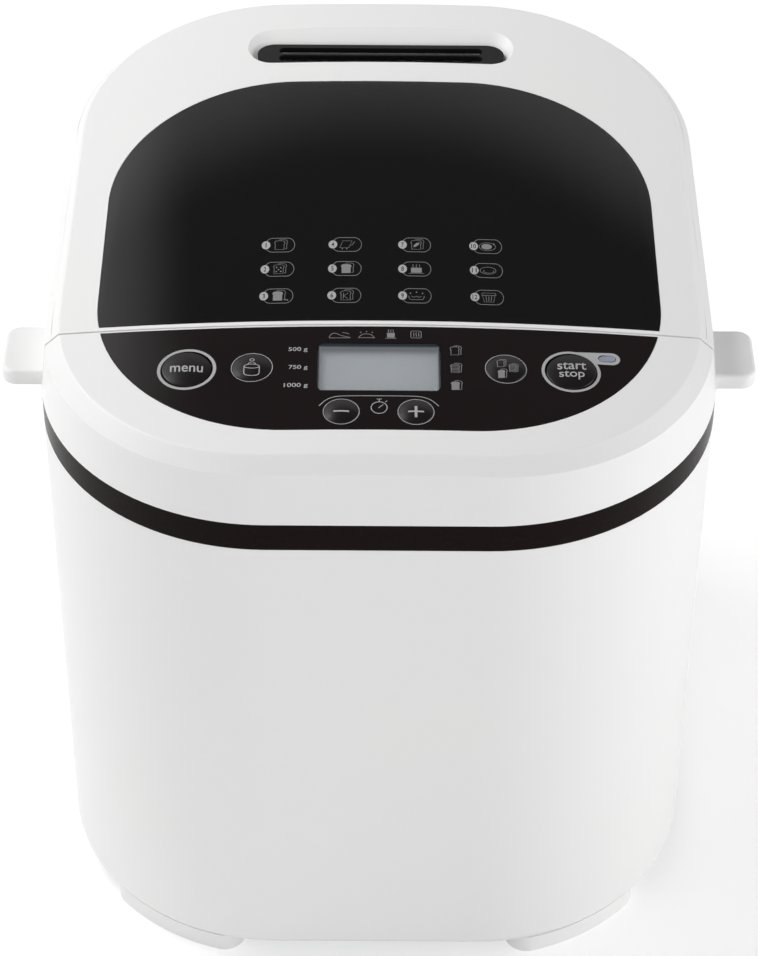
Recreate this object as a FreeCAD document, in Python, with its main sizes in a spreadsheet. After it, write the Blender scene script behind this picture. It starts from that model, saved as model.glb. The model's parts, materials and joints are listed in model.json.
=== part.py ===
import FreeCAD, Part
import math
import os
import re

import Sketcher

# Dimensions of the bread machine in millimetres and degrees; the ones with a formula follow from others
sizes = {
    # Casing: a rounded box that stands on four feet, with its opening line level all round
    "body_width": 270,
    "body_depth": 302,
    "corner_radius": 92,
    "wall": 2.5,
    "foot_height": 9,
    "split_height": 251,
    "bottom_edge": 4,
    "flange_width": 14,
    "flange_thick": 3,
    "floor_thick": 2.5,
    "foot_width": 18,
    "foot_inset": 1.5,
    "foot_start": 42,
    "foot_end": 74,
    "band_height": 12.7,
    "band_depth": 1.4,
    "band_reach": "=tab_front + tab_length",
    "screw_radius": 1.7,
    "screw_head": 3.2,
    "head_thick": 1.6,
    "base_screw_y": 42,
    "vent_count": 8,
    "vent_pitch": 9,
    "vent_width": 3.2,
    "vent_length": 34,
    "vent_height": 78,
    "gland_x": 30,
    "gland_z": 34,
    "gland_radius": 8,
    # Clearances and how far the cutting tools reach past the solids
    "fit_gap": 0.2,
    "run_gap": 0.4,
    "pin_gap": 0.05,
    "rest_gap": 0.3,
    "overcut": 20,
    # Top: a sloping, slightly crowned surface with a chamfered rim
    "top_rise": 28,
    "top_front": "=split_height + top_rise",
    "tilt": 4,
    "crown_radius": 1350,
    "wall_lean": 7,
    "rim_chamfer": 5.2,
    "rim_soften": 1.6,
    "seam_setback": 80.6,
    "seam_gap": 0.8,
    "lid_lip": 1.8,
    # The glossy black outline that the window and the control panel share
    "black_margin": 23.5,
    "black_half": "=body_width / 2 - black_margin",
    "black_shrink": 16,
    "black_radius": "=corner_radius - black_shrink",
    "black_front": 21.5,
    "black_aft": 66.4,
    "black_back": "=body_depth - black_aft",
    "panel_web": 0.6,
    "panel_ledge": 1.8,
    "ledge": 5,
    "glass_thick": 3,
    "panel_thick": 2.2,
    # Lid
    "tab_setback": 2.4,
    "tab_front": "=seam_setback + tab_setback",
    "tab_length": 30,
    "tab_out": 15.5,
    "tab_reach": "=body_width / 2 + tab_out",
    "tab_thick": 6.3,
    "tab_corner": 6,
    "hinge_inset": 4.2,
    "hinge_rise": 4.6,
    "knuckle_radius": 3.4,
    "pin_radius": 1.5,
    "ear_width": 10,
    "knuckle_start": 17,
    "knuckle_length": 26,
    "notch_half": 74,
    "liner_inset": 10,
    "liner_sheet": 1.2,
    "liner_rise": 1,
    "dome_height": 21,
    "dome_margin": 6,
    "pane_margin": 30,
    "pane_width": "=chamber_width - 2 * pane_margin",
    "pane_depth": "=chamber_depth - 2 * pane_margin",
    "pane_thick": 3,
    "pane_corner": 20,
    "pane_lap": 5,
    "boss_radius": 4,
    "boss_inset": 16.5,
    "boss_setback": 30,
    "grille_width": 106.6,
    "grille_depth": 15.6,
    "grille_thick": 2.4,
    "grille_aft": 53,
    "grille_front": "=body_depth - grille_aft",
    "grille_sink": 4.5,
    "grille_slot": 88,
    "grille_rib": 1.1,
    "grille_bar": 2.6,
    "recess_width": 117,
    "recess_aft": 30,
    "recess_back": "=body_depth - recess_aft",
    # Controls
    "row_setback": 56.4,
    "big_key": 9.6,
    "middle_key": 7.7,
    "small_key": 6.6,
    "big_key_inset": 37.3,
    "big_key_x": "=black_half - big_key_inset",
    "key_spacing": 25.2,
    "middle_key_x": "=big_key_x - key_spacing",
    "small_key_x": 14.2,
    "small_key_setback": 31.3,
    "key_proud": 0.7,
    "key_dish": 0.5,
    "key_edge": 0.5,
    "key_flange": 1,
    "key_travel": 0.8,
    "stem_radius": 2.4,
    "lcd_width": 47,
    "lcd_depth": 26.6,
    "lcd_corner": 2.4,
    "lcd_border": 4,
    "light_inset": 23,
    "light_x": "=black_half - light_inset",
    "light_setback": 64.8,
    "light_length": 6.4,
    "light_width": 3.2,
    "board_depth": 13,
    "board_margin": 17.5,
    "board_width": "=2 * (black_half - board_margin)",
    "board_front": 25,
    "board_back": 76.5,
    "board_thick": 1.6,
    "switch_size": 6,
    "switch_height": 4.3,
    "switch_base": 3.2,
    "buzzer_radius": 6,
    "buzzer_height": 7,
    "buzzer_hole": 1.2,
    "board_thread": 4.4,
    "post_radius": 3,
    "post_inset": 20.5,
    "post_back_x": "=black_half - post_inset",
    "post_front_x": 36,
    "post_back": 72,
    "post_front": 36,
    # Oven chamber and deck
    "deck_drop": 13,
    "deck_height": "=split_height - deck_drop",
    "deck_thick": 3,
    "deck_margin": 12,
    "chamber_side": 28,
    "chamber_fore": 12.4,
    "chamber_aft": 37,
    "chamber_width": "=body_width - 2 * chamber_side",
    "chamber_depth": "=body_depth - seam_setback - chamber_fore - chamber_aft",
    "chamber_y": "=body_depth / 2 - chamber_aft - chamber_depth / 2",
    "chamber_corner": 30,
    "chamber_sheet": 1.2,
    "chamber_lip": 8,
    "oven_floor": "=frame_height + frame_thick + chamber_sheet",
    "heater_radius": 3.3,
    "heater_inset": 8,
    "heater_rise": 29.8,
    "heater_height": "=oven_floor + heater_rise",
    "heater_bend": 8,
    "heater_corner": 22,
    "heater_end_x": 58,
    "heater_tail": 10,
    "clip_length": 9,
    "clip_height": 9.9,
    "sensor_x": 40,
    "sensor_rise": 73.8,
    "sensor_height": "=oven_floor + sensor_rise",
    "sensor_radius": 3,
    "sensor_reach": 12,
    "fuse_rise": 105.8,
    "fuse_height": "=oven_floor + fuse_rise",
    "fuse_radius": 2.6,
    "fuse_length": 16,
    "fuse_strap": 5.4,
    # Pan, handle and paddle
    "base_height": 11.8,
    "pan_sink": 40,
    "pan_side": 19,
    "pan_end": 23,
    "pan_bottom": "=oven_floor + seat_height + base_height",
    "pan_height": "=deck_height + deck_thick - pan_sink - pan_bottom",
    "pan_width": "=chamber_width - 2 * pan_side",
    "pan_depth": "=chamber_depth - 2 * pan_end",
    "pan_corner": 26,
    "pan_lean": 2,
    "pan_sheet": 1.5,
    "pan_lip": 3,
    "lug_width": 18,
    "lug_corner": 5,
    "lug_depth": 18,
    "lug_thick": 4.6,
    "pivot_drop": 10,
    "bail_radius": 2,
    "bail_over": 12,
    "bail_reach": "=pan_depth / 2 + bail_over",
    "bail_bend": 3,
    "bail_corner": 16,
    "bail_gap": 0.1,
    "seat_radius": 44,
    "seat_inner": 34,
    "seat_height": 10,
    "skirt_inner": 28,
    "shaft_radius": 4,
    "bush_radius": 7,
    "bush_flange": 12,
    "bush_height": 9,
    "seal_thick": 2.2,
    "dog_radius": 17,
    "dog_inner": 11,
    "dog_width": 8,
    "dog_corner": 2.6,
    "dog_base": 2,
    "dog_height": 8,
    "dog_gap": 0.8,
    "paddle_hub": 9,
    "paddle_height": 24,
    "paddle_reach": 52,
    "paddle_thick": 4,
    "paddle_blade": 20,
    # Drive train in the base
    "floor_top": "=foot_height + flange_thick + floor_thick",
    "frame_height": "=pulley_bottom + pulley_thick + pulley_clear + bearing_drop",
    "frame_thick": 3,
    "frame_half": 72,
    "frame_margin": 1,
    "leg_size": 14,
    "motor_gap": 13,
    "motor_y": "=chamber_y - chamber_depth / 2 - motor_gap - stator_size / 2",
    "bearing_bore": 6,
    "bearing_tube": 10,
    "bearing_flange": 25,
    "bearing_drop": 7,
    "bush_length": 8,
    "pulley_rise": 4.5,
    "pulley_clear": 2,
    "pulley_bottom": "=floor_top + pulley_rise",
    "pulley_thick": 12,
    "large_pulley": 52,
    "small_pulley": 9.5,
    "pulley_rim": 2,
    "pulley_web": 4,
    "pulley_holes": 5,
    "belt_thick": 2.2,
    "belt_width": 7.6,
    "belt_gap": 0.3,
    "stator_size": 68,
    "stator_height": 32,
    "stator_corner": 10,
    "bell_height": 9,
    "coil_radius": 27,
    "rotor_radius": 18,
    "motor_shaft": 3,
    "capacitor_inset": 39,
    "capacitor_x": "=body_width / 2 - capacitor_inset",
    "capacitor_setback": 14,
    "capacitor_width": 20,
    "capacitor_depth": 42,
    "capacitor_height": 34,
    "power_inset": 43,
    "board_x": "=power_inset - body_width / 2",
    "power_width": 50,
    "power_setback": 7,
    "power_height": 84,
    "relay_size": 16,
    "relay_height": 22,
}

doc = FreeCAD.newDocument("bread_machine")
sheet = doc.addObject("Spreadsheet::Sheet", "dims")
for row, alias in enumerate(sizes, start=1):
    sheet.set(f"A{row}", alias)
    sheet.setAlias(f"B{row}", alias)
for row, content in enumerate(sizes.values(), start=1):
    sheet.set(f"B{row}", str(content))
doc.recompute()
alias_words = re.compile(r"\b(" + "|".join(sizes) + r")\b")
nodes = {}

x_axis = FreeCAD.Vector(1, 0, 0)
y_axis = FreeCAD.Vector(0, 1, 0)
z_axis = FreeCAD.Vector(0, 0, 1)


def formula(text):
    return alias_words.sub(r"dims.\1", str(text))


def measure(text):
    value = sheet.evalExpression(formula(text))
    return float(getattr(value, "Value", value))


def bind(thing, **formulas):
    for name, text in formulas.items():
        thing.setExpression(name.replace("__", "."), formula(text))


def place(thing, x="0", y="0", z="0", axis=z_axis, angle="0"):
    thing.Placement = FreeCAD.Placement(FreeCAD.Vector(), FreeCAD.Rotation(axis, measure(angle)))
    bind(thing, Placement__Base__x=x, Placement__Base__y=y, Placement__Base__z=z)
    if angle != "0":
        bind(thing, Placement__Rotation__Angle=angle)
    return thing


def node(thing, label):
    thing.Label = label
    nodes[label] = thing
    return thing


# Sketches: every corner and every arc's radius is bound to the sheet

def arc_between(start, end, radius, turn):
    half = (end - start) * 0.5
    reach = math.sqrt(max(radius ** 2 - half.Length ** 2, 0.0))
    side = FreeCAD.Vector(-half.y, half.x, 0).normalize() * (reach * turn)
    centre = start + half + side
    first = math.atan2(start.y - centre.y, start.x - centre.x)
    last = math.atan2(end.y - centre.y, end.x - centre.x)
    circle = Part.Circle(centre, z_axis, radius)
    if turn > 0:
        return Part.ArcOfCircle(circle, first, last)
    return Part.ArcOfCircle(circle, last, first)


def hold(sketch, kind, geometry, point, text):
    value = measure(text)
    number = sketch.addConstraint(Sketcher.Constraint(kind, -1, 1, geometry, point, value))
    sketch.setExpression(f"Constraints[{number}]", formula(text))


def add_path(sketch, vertices, closed=True):
    spots = [FreeCAD.Vector(measure(v[0]), measure(v[1]), 0) for v in vertices]
    count = len(vertices) if closed else len(vertices) - 1
    ends = []
    for index in range(count):
        here = spots[index]
        there = spots[(index + 1) % len(spots)]
        curve = vertices[index][2:]
        if curve:
            shape = arc_between(here, there, measure(curve[0]), curve[1])
            geometry = sketch.addGeometry(shape)
            ends.append((geometry, 1, 2) if curve[1] > 0 else (geometry, 2, 1))
            number = sketch.addConstraint(Sketcher.Constraint("Radius", geometry, measure(curve[0])))
            sketch.setExpression(f"Constraints[{number}]", formula(curve[0]))
        else:
            geometry = sketch.addGeometry(Part.LineSegment(here, there))
            ends.append((geometry, 1, 2))
    for index, (geometry, start, end) in enumerate(ends):
        hold(sketch, "DistanceX", geometry, start, vertices[index][0])
        hold(sketch, "DistanceY", geometry, start, vertices[index][1])
        if closed or index + 1 < count:
            follower, begin, _ = ends[(index + 1) % count]
            sketch.addConstraint(Sketcher.Constraint("Coincident", geometry, end, follower, begin))
    if not closed:
        geometry, _, end = ends[-1]
        hold(sketch, "DistanceX", geometry, end, vertices[-1][0])
        hold(sketch, "DistanceY", geometry, end, vertices[-1][1])
    return sketch


def add_circle(sketch, x, y, radius):
    centre = FreeCAD.Vector(measure(x), measure(y), 0)
    geometry = sketch.addGeometry(Part.Circle(centre, z_axis, measure(radius)))
    hold(sketch, "DistanceX", geometry, 3, x)
    hold(sketch, "DistanceY", geometry, 3, y)
    number = sketch.addConstraint(Sketcher.Constraint("Radius", geometry, measure(radius)))
    sketch.setExpression(f"Constraints[{number}]", formula(radius))
    return sketch


def new_body(name):
    return doc.addObject("PartDesign::Body", name)


def blank_sketch(body, plane="XY_Plane", lift="0"):
    sketch = body.newObject("Sketcher::SketchObject", body.Name + "_sketch")
    support = [feature for feature in body.Origin.OriginFeatures if feature.Role == plane][0]
    sketch.AttachmentSupport = [(support, "")]
    sketch.MapMode = "FlatFace"
    bind(sketch, AttachmentOffset__Base__z=lift)
    return sketch


def outline(body, vertices, plane="XY_Plane", lift="0"):
    return add_path(blank_sketch(body, plane, lift), vertices)


def circles(body, centres, radius, plane="XY_Plane", lift="0"):
    sketch = blank_sketch(body, plane, lift)
    for x, y in centres:
        add_circle(sketch, x, y, radius)
    return sketch


def pad(body, sketch, length, lean=None, side="One side"):
    feature = body.newObject("PartDesign::Pad", body.Name + "_pad")
    feature.Profile = sketch
    feature.SideType = side
    bind(feature, Length=length)
    if lean:
        bind(feature, TaperAngle=lean)
    doc.recompute()
    return feature


def pocket(body, sketch, length, lean=None, side="One side", upward=False):
    before = body.Shape.Volume
    feature = body.newObject("PartDesign::Pocket", body.Name + "_pocket")
    feature.Profile = sketch
    feature.SideType = side
    feature.Reversed = upward
    bind(feature, Length=length)
    if lean:
        bind(feature, TaperAngle=lean)
    doc.recompute()
    if body.Shape.Volume >= before:
        raise RuntimeError(f"{feature.Name} cuts nothing")
    return feature


def revolve(body, vertices):
    feature = body.newObject("PartDesign::Revolution", body.Name + "_turn")
    sketch = outline(body, vertices, "XZ_Plane")
    feature.Profile = sketch
    feature.ReferenceAxis = (sketch, ["V_Axis"])
    doc.recompute()
    return feature


def edge_names(shape, test):
    return [f"Edge{i}" for i, edge in enumerate(shape.Edges, start=1) if test(edge)]


def dress(body, kind, names, **formulas):
    base = body.Tip
    feature = body.newObject("PartDesign::" + kind, body.Name + "_" + kind.lower())
    feature.Base = (base, names)
    bind(feature, **formulas)
    doc.recompute()
    return feature


def repeat(body, feature, sketch, count, pitch, along="H_Axis"):
    pattern = body.newObject("PartDesign::LinearPattern", body.Name + "_row")
    pattern.Originals = [feature]
    pattern.Direction = (sketch, [along])
    bind(pattern, Length=f"({count} - 1) * {pitch}", Occurrences=count)
    body.Tip = pattern
    doc.recompute()
    return pattern


# Part primitives and booleans

def box(name, size, x="0", y="0", z="0"):
    thing = doc.addObject("Part::Box", name)
    bind(thing, Length=size[0], Width=size[1], Height=size[2])
    return place(thing, x, y, z)


def cylinder(name, radius, height, x="0", y="0", z="0", axis=z_axis, angle="0"):
    thing = doc.addObject("Part::Cylinder", name)
    bind(thing, Radius=radius, Height=height)
    return place(thing, x, y, z, axis, angle)


def rod_x(name, radius, length, x, y, z):
    return cylinder(name, radius, length, x, y, z, y_axis, "90")


def rod_y(name, radius, length, x, y, z):
    return cylinder(name, radius, length, x, y, z, x_axis, "-90")


def joined(name, things):
    thing = doc.addObject("Part::MultiFuse", name)
    thing.Shapes = things
    doc.recompute()
    return thing


def gathered(name, things):
    thing = doc.addObject("Part::Compound", name)
    thing.Links = things
    doc.recompute()
    return thing


def cut(name, base, tools):
    thing = doc.addObject("Part::Cut", name)
    thing.Base = base
    thing.Tool = tools[0] if len(tools) == 1 else joined(name + "_tools", tools)
    doc.recompute()
    return thing


# Outlines

front = "(-body_depth / 2)"
back = "(body_depth / 2)"
seam_y = f"({front} + seam_setback)"
lid_front = f"({seam_y} + seam_gap / 2)"
housing_back = f"({seam_y} - seam_gap / 2)"
hinge_y = f"({back} - hinge_inset)"
hinge_z = "(split_height + hinge_rise)"


def rounded_rectangle(width, depth, radius, x="0", y="0"):
    left, right = f"{x} - ({width}) / 2", f"{x} + ({width}) / 2"
    near, far = f"{y} - ({depth}) / 2", f"{y} + ({depth}) / 2"
    return [
        (f"{left} + {radius}", near),
        (f"{right} - ({radius})", near, radius, 1),
        (right, f"{near} + {radius}"),
        (right, f"{far} - ({radius})", radius, 1),
        (f"{right} - ({radius})", far),
        (f"{left} + {radius}", far, radius, 1),
        (left, f"{far} - ({radius})"),
        (left, f"{near} + {radius}", radius, 1),
    ]


def rectangle(left, right, near, far):
    return [(left, near), (right, near), (right, far), (left, far)]


def stadium(length, width, x="0", y="0"):
    half = f"(({length}) - ({width})) / 2"
    radius = f"({width}) / 2"
    return [
        (f"{x} - {half}", f"{y} - {radius}"),
        (f"{x} + {half}", f"{y} - {radius}", radius, 1),
        (f"{x} + {half} + {radius}", y, radius, 1),
        (f"{x} + {half}", f"{y} + {radius}"),
        (f"{x} - {half}", f"{y} + {radius}", radius, 1),
        (f"{x} - {half} - {radius}", y, radius, 1),
    ]


def upright_slot(length, width, x, y):
    half = f"(({length}) - ({width})) / 2"
    radius = f"({width}) / 2"
    return [
        (f"{x} + {radius}", f"{y} - {half}"),
        (f"{x} + {radius}", f"{y} + {half}", radius, 1),
        (x, f"{y} + {half} + {radius}", radius, 1),
        (f"{x} - {radius}", f"{y} + {half}"),
        (f"{x} - {radius}", f"{y} - {half}", radius, 1),
        (x, f"{y} - {half} - {radius}", radius, 1),
    ]


def drill(body, centres, radius):
    return pocket(body, circles(body, centres, radius, lift="2 * split_height"), "2 * split_height")


def vent_row(body, length, y, plane="XY_Plane", lift="2 * split_height", depth="2 * split_height"):
    start = "(-(vent_count - 1) * vent_pitch / 2)"
    sketch = outline(body, upright_slot(length, "vent_width", start, y), plane, lift)
    return repeat(body, pocket(body, sketch, depth), sketch, "vent_count", "vent_pitch")


def oven_plan(width, depth, radius):
    return rounded_rectangle(width, depth, radius, "0", "chamber_y")


def open_front(half, radius, inset, near, arc_y, far):
    reach = f"({half} - {radius} + sqrt(({radius} - {inset}) ^ 2 - ({arc_y} - ({near})) ^ 2))"
    side = f"({half} - ({inset}))"
    bend = f"({radius} - ({inset}))"
    return [
        (f"-{reach}", near),
        (reach, near, bend, 1),
        (side, arc_y),
        (side, f"{far} - {radius}", bend, 1),
        (f"{half} - {radius}", f"{far} - ({inset})"),
        (f"-({half} - {radius})", f"{far} - ({inset})", bend, 1),
        (f"-{side}", f"{far} - {radius}"),
        (f"-{side}", arc_y, bend, 1),
    ]


def plan_behind(inset, near):
    return open_front("body_width / 2", "corner_radius", inset, near, f"({front} + corner_radius)", back)


def window_plan(inset):
    near = f"({lid_front} + lid_lip + ({inset}))"
    arc_y = f"({front} + black_front + black_radius)"
    return open_front("black_half", "black_radius", inset, near, arc_y, f"({front} + black_back)")


def panel_plan(inset):
    near = f"({front} + black_front + ({inset}))"
    far = f"({housing_back} - panel_web - ({inset}))"
    arc_y = f"({front} + black_front + black_radius)"
    bend = f"(black_radius - ({inset}))"
    reach = f"(black_half - black_radius + sqrt({bend} ^ 2 - ({arc_y} - {far}) ^ 2))"
    return [
        ("black_radius - black_half", near),
        ("black_half - black_radius", near, bend, 1),
        (reach, far),
        (f"-{reach}", far, bend, 1),
    ]


def top_height(x, y):
    return f"(top_front + ({y} + body_depth / 2) * tan(tilt) - ({x}) ^ 2 / (2 * crown_radius))"


# The sloping crown: a long round sketch across the machine, pushed along the slope

def crown_cut(body, drop="0", keep_below=True):
    sketch = blank_sketch(body, "XZ_Plane")
    turn = FreeCAD.Rotation(x_axis, measure("tilt"))
    sketch.AttachmentOffset = FreeCAD.Placement(FreeCAD.Vector(), turn)
    bind(
        sketch,
        AttachmentOffset__Base__y=f"top_front - ({drop})",
        AttachmentOffset__Base__z=f"-{front}",
        AttachmentOffset__Rotation__Angle="tilt",
    )
    half = "(body_width / 2 + overcut)"
    fall = f"(sqrt(crown_radius ^ 2 - {half} ^ 2) - crown_radius)"
    far = "split_height" if keep_below else "-split_height"
    path = [(f"-{half}", fall, "crown_radius", -1), (half, fall), (half, far), (f"-{half}", far)]
    add_path(sketch, path)
    return pocket(body, sketch, "4 * body_depth", side="Symmetric")


def is_crown(face):
    surface = face.Surface
    return isinstance(surface, Part.Cylinder) and abs(surface.Radius - measure("crown_radius")) < 1e-3


def rim_names(shape):
    rims = [edge for face in shape.Faces if is_crown(face) for edge in face.Edges]
    return edge_names(shape, lambda edge: any(edge.isSame(rim) for rim in rims))


def upper_form(name, lift, inset="0", drop="0"):
    body = new_body(name)
    plan = rounded_rectangle(
        f"body_width - 2 * ({inset})",
        f"body_depth - 2 * ({inset})",
        f"(corner_radius - ({inset}))",
    )
    pad(body, outline(body, plan, lift=lift), "split_height / 2", lean="-wall_lean")
    crown_cut(body, drop)
    return body


def crowned(name, vertices, drop="0", keep_below=True):
    body = new_body(name)
    pad(body, outline(body, vertices, lift="split_height"), "split_height / 2")
    crown_cut(body, drop, keep_below)
    return body


def slice_plan(body, near, far):
    half = "(body_width / 2 + overcut)"
    sketch = outline(body, rectangle(f"-{half}", half, near, far), lift="2 * split_height")
    return pocket(body, sketch, "3 * split_height")


def soften_rim(body):
    dress(body, "Chamfer", rim_names(body.Shape), Size="rim_chamfer")
    dress(body, "Fillet", rim_names(body.Shape), Radius="rim_soften")


# Casing

def u_strip(outside, inside):
    half = "(body_width / 2 - corner_radius)"
    near = f"({front} + corner_radius)"
    end = f"({front} + band_reach)"
    outer = f"(corner_radius + {outside})"
    inner = f"(corner_radius - ({inside}))"
    return [
        (f"-{half} - {outer}", end),
        (f"-{half} - {outer}", near, outer, 1),
        (f"-{half}", f"{near} - {outer}"),
        (half, f"{near} - {outer}", outer, 1),
        (f"{half} + {outer}", near),
        (f"{half} + {outer}", end),
        (f"{half} + {inner}", end),
        (f"{half} + {inner}", near, inner, -1),
        (half, f"{near} - {inner}"),
        (f"-{half}", f"{near} - {inner}", inner, -1),
        (f"-{half} - {inner}", near),
        (f"-{half} - {inner}", end),
    ]


def inner_plan(inset):
    return rounded_rectangle(
        f"body_width - 2 * ({inset})", f"body_depth - 2 * ({inset})", f"(corner_radius - ({inset}))"
    )


flange_x = "(body_width / 2 - flange_width / 2)"
base_screw_spots = [(sx + flange_x, sy + "base_screw_y") for sx in ("-", "") for sy in ("-", "")]
knuckle_ends = [("", "knuckle_start"), ("-", "(-knuckle_start - knuckle_length)")]


def hinge_lug(name, start, length, rear, low, high):
    eye = rod_x(name + "_eye", "knuckle_radius", length, start, hinge_y, hinge_z)
    depth = f"knuckle_radius + {rear}"
    near = f"{hinge_y} - knuckle_radius"
    web = box(name + "_web", (length, depth, f"{high} - ({low})"), start, near, low)
    return [eye, web]


def pin_bore(name):
    length = "2 * (knuckle_start + knuckle_length + 2 * ear_width)"
    return rod_x(name, "pin_radius + pin_gap", length, f"-({length}) / 2", hinge_y, hinge_z)


def make_body_shell():
    body = new_body("body_shell_form")
    pad(body, outline(body, inner_plan("0"), lift="foot_height"), "split_height - foot_height")
    floor = measure("foot_height")
    low = edge_names(body.Shape, lambda edge: abs(edge.BoundBox.ZMax - floor) < 1e-6)
    dress(body, "Fillet", low, Radius="bottom_edge")
    depth = "split_height - foot_height - flange_thick"
    pocket(body, outline(body, inner_plan("wall"), lift="split_height"), depth)
    pocket(body, outline(body, inner_plan("flange_width"), lift="split_height"), "split_height")
    drill(body, base_screw_spots, "screw_radius + pin_gap")
    rear = f"-({back} - 2 * wall)"
    vent_row(body, "vent_length", "vent_height", "XZ_Plane", rear, "3 * wall")
    pocket(body, circles(body, [("gland_x", "gland_z")], "gland_radius", "XZ_Plane", rear), "3 * wall")
    groove = new_body("band_groove")
    strip = u_strip("overcut", "band_depth + fit_gap")
    pad(groove, outline(groove, strip, lift="split_height - band_height"), "band_height + overcut")
    lugs = []
    for side, start in knuckle_ends:
        for place_name, ear in (
            ("inner", f"{start} - run_gap - ear_width"),
            ("outer", f"{start} + knuckle_length + run_gap"),
        ):
            name = f"ear_{place_name}{side}".replace("-", "_left")
            low = "split_height - 2 * hinge_rise + run_gap"
            lugs += hinge_lug(name, ear, "ear_width", "knuckle_radius", low, hinge_z)
    whole = joined("body_shell_lugs", [body] + lugs)
    node(cut("body_shell_cut", whole, [groove, pin_bore("ear_bore")]), "body_shell")


def make_trim_band():
    body = node(new_body("trim_band_body"), "trim_band")
    lift = "split_height - band_height + fit_gap / 2"
    pad(body, outline(body, u_strip("0", "band_depth"), lift=lift), "band_height - fit_gap")


def make_base_plate():
    body = node(new_body("base_plate_body"), "base_plate")
    lift = "foot_height + flange_thick"
    pad(body, outline(body, inner_plan("wall + fit_gap"), lift=lift), "floor_thick")
    drill(body, base_screw_spots, "screw_radius + pin_gap")
    for y in ("(chamber_y + vent_length)", "(motor_y + vent_length)"):
        vent_row(body, "vent_length", y)


def corner_spot(side, end, radius, angle):
    x = f"{side} * (body_width / 2 - corner_radius + {radius} * cos({angle}))"
    return x, f"{end} * (body_depth / 2 - corner_radius + {radius} * sin({angle}))"


def make_feet():
    names = {"front_left": (-1, -1), "front_right": (1, -1), "rear_left": (-1, 1), "rear_right": (1, 1)}
    outer = "(corner_radius - foot_inset)"
    inner = "(corner_radius - foot_inset - foot_width)"
    middle = "(corner_radius - foot_inset - foot_width / 2)"
    cap = "foot_width / 2"
    tip = f"(180 / pi * foot_width / 2 / {middle})"
    for name, (side, end) in names.items():
        turn = side * end
        path = [
            (*corner_spot(side, end, outer, "foot_start"), outer, turn),
            (*corner_spot(side, end, outer, "foot_end"), cap, turn),
            (*corner_spot(side, end, middle, f"foot_end + {tip}"), cap, turn),
            (*corner_spot(side, end, inner, "foot_end"), inner, -turn),
            (*corner_spot(side, end, inner, "foot_start"), cap, turn),
            (*corner_spot(side, end, middle, f"foot_start - {tip}"), cap, turn),
        ]
        body = node(new_body("foot_" + name + "_body"), "foot_" + name)
        pad(body, outline(body, path), "foot_height")


def make_base_screws():
    screws = []
    for index, (x, y) in enumerate(base_screw_spots):
        head_z = "foot_height - head_thick"
        shank = "head_thick + flange_thick + floor_thick"
        head = cylinder(f"base_head_{index}", "screw_head", "head_thick", x, y, head_z)
        stem = cylinder(f"base_stem_{index}", "screw_radius", shank, x, y, head_z)
        screws.append(joined(f"base_screw_{index}", [head, stem]))
    node(gathered("base_screw_set", screws), "base_screws")


def make_cord_gland():
    inner = f"{back} - 2 * wall"
    flange = rod_y("gland_flange", "gland_radius + wall", "wall", "gland_x", inner, "gland_z")
    barrel = rod_y("gland_barrel", "gland_radius - fit_gap", "2 * wall", "gland_x", inner, "gland_z")
    hole = rod_y("gland_hole", "gland_radius / 2", "overcut", "gland_x", f"{back} - overcut / 2", "gland_z")
    node(cut("gland_cut", joined("gland_solid", [flange, barrel]), [hole]), "cord_gland")


# Lid

chamber_back = "(chamber_y + chamber_depth / 2)"
recess_y = f"({front} + (grille_front + recess_back) / 2)"
grille_y = f"({front} + grille_front + grille_depth / 2)"
grille_z = f"({top_height('0', grille_y)} - grille_sink)"
boss_x = "(body_width / 2 - boss_inset)"
boss_back_y = f"({back} - boss_inset)"
boss_spots = [
    (f"-{boss_x}", f"({seam_y} + boss_setback)"),
    (boss_x, f"({seam_y} + boss_setback)"),
    (f"-{boss_x}", f"({back} - corner_radius)"),
    (boss_x, f"({back} - corner_radius)"),
    ("-knuckle_start", boss_back_y),
    ("knuckle_start", boss_back_y),
]
liner_z = "(split_height + liner_rise)"


def recess_form(name):
    body = new_body(name)
    deep = stadium("grille_width + 2 * fit_gap", "grille_depth + 2 * fit_gap", "0", grille_y)
    sink = "grille_sink"
    rise = "(recess_back - grille_front - grille_depth)"
    wide = stadium(
        "2 * recess_width - grille_width",
        f"grille_depth + 2 * {rise}",
        "0",
        f"({grille_y} + {rise})",
    )
    low = outline(body, deep, lift=grille_z)
    high = outline(body, wide, lift=f"{grille_z} + 2 * {sink}")
    loft = body.newObject("PartDesign::AdditiveLoft", name + "_loft")
    loft.Profile = low
    loft.Sections = [high]
    doc.recompute()
    return body


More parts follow.
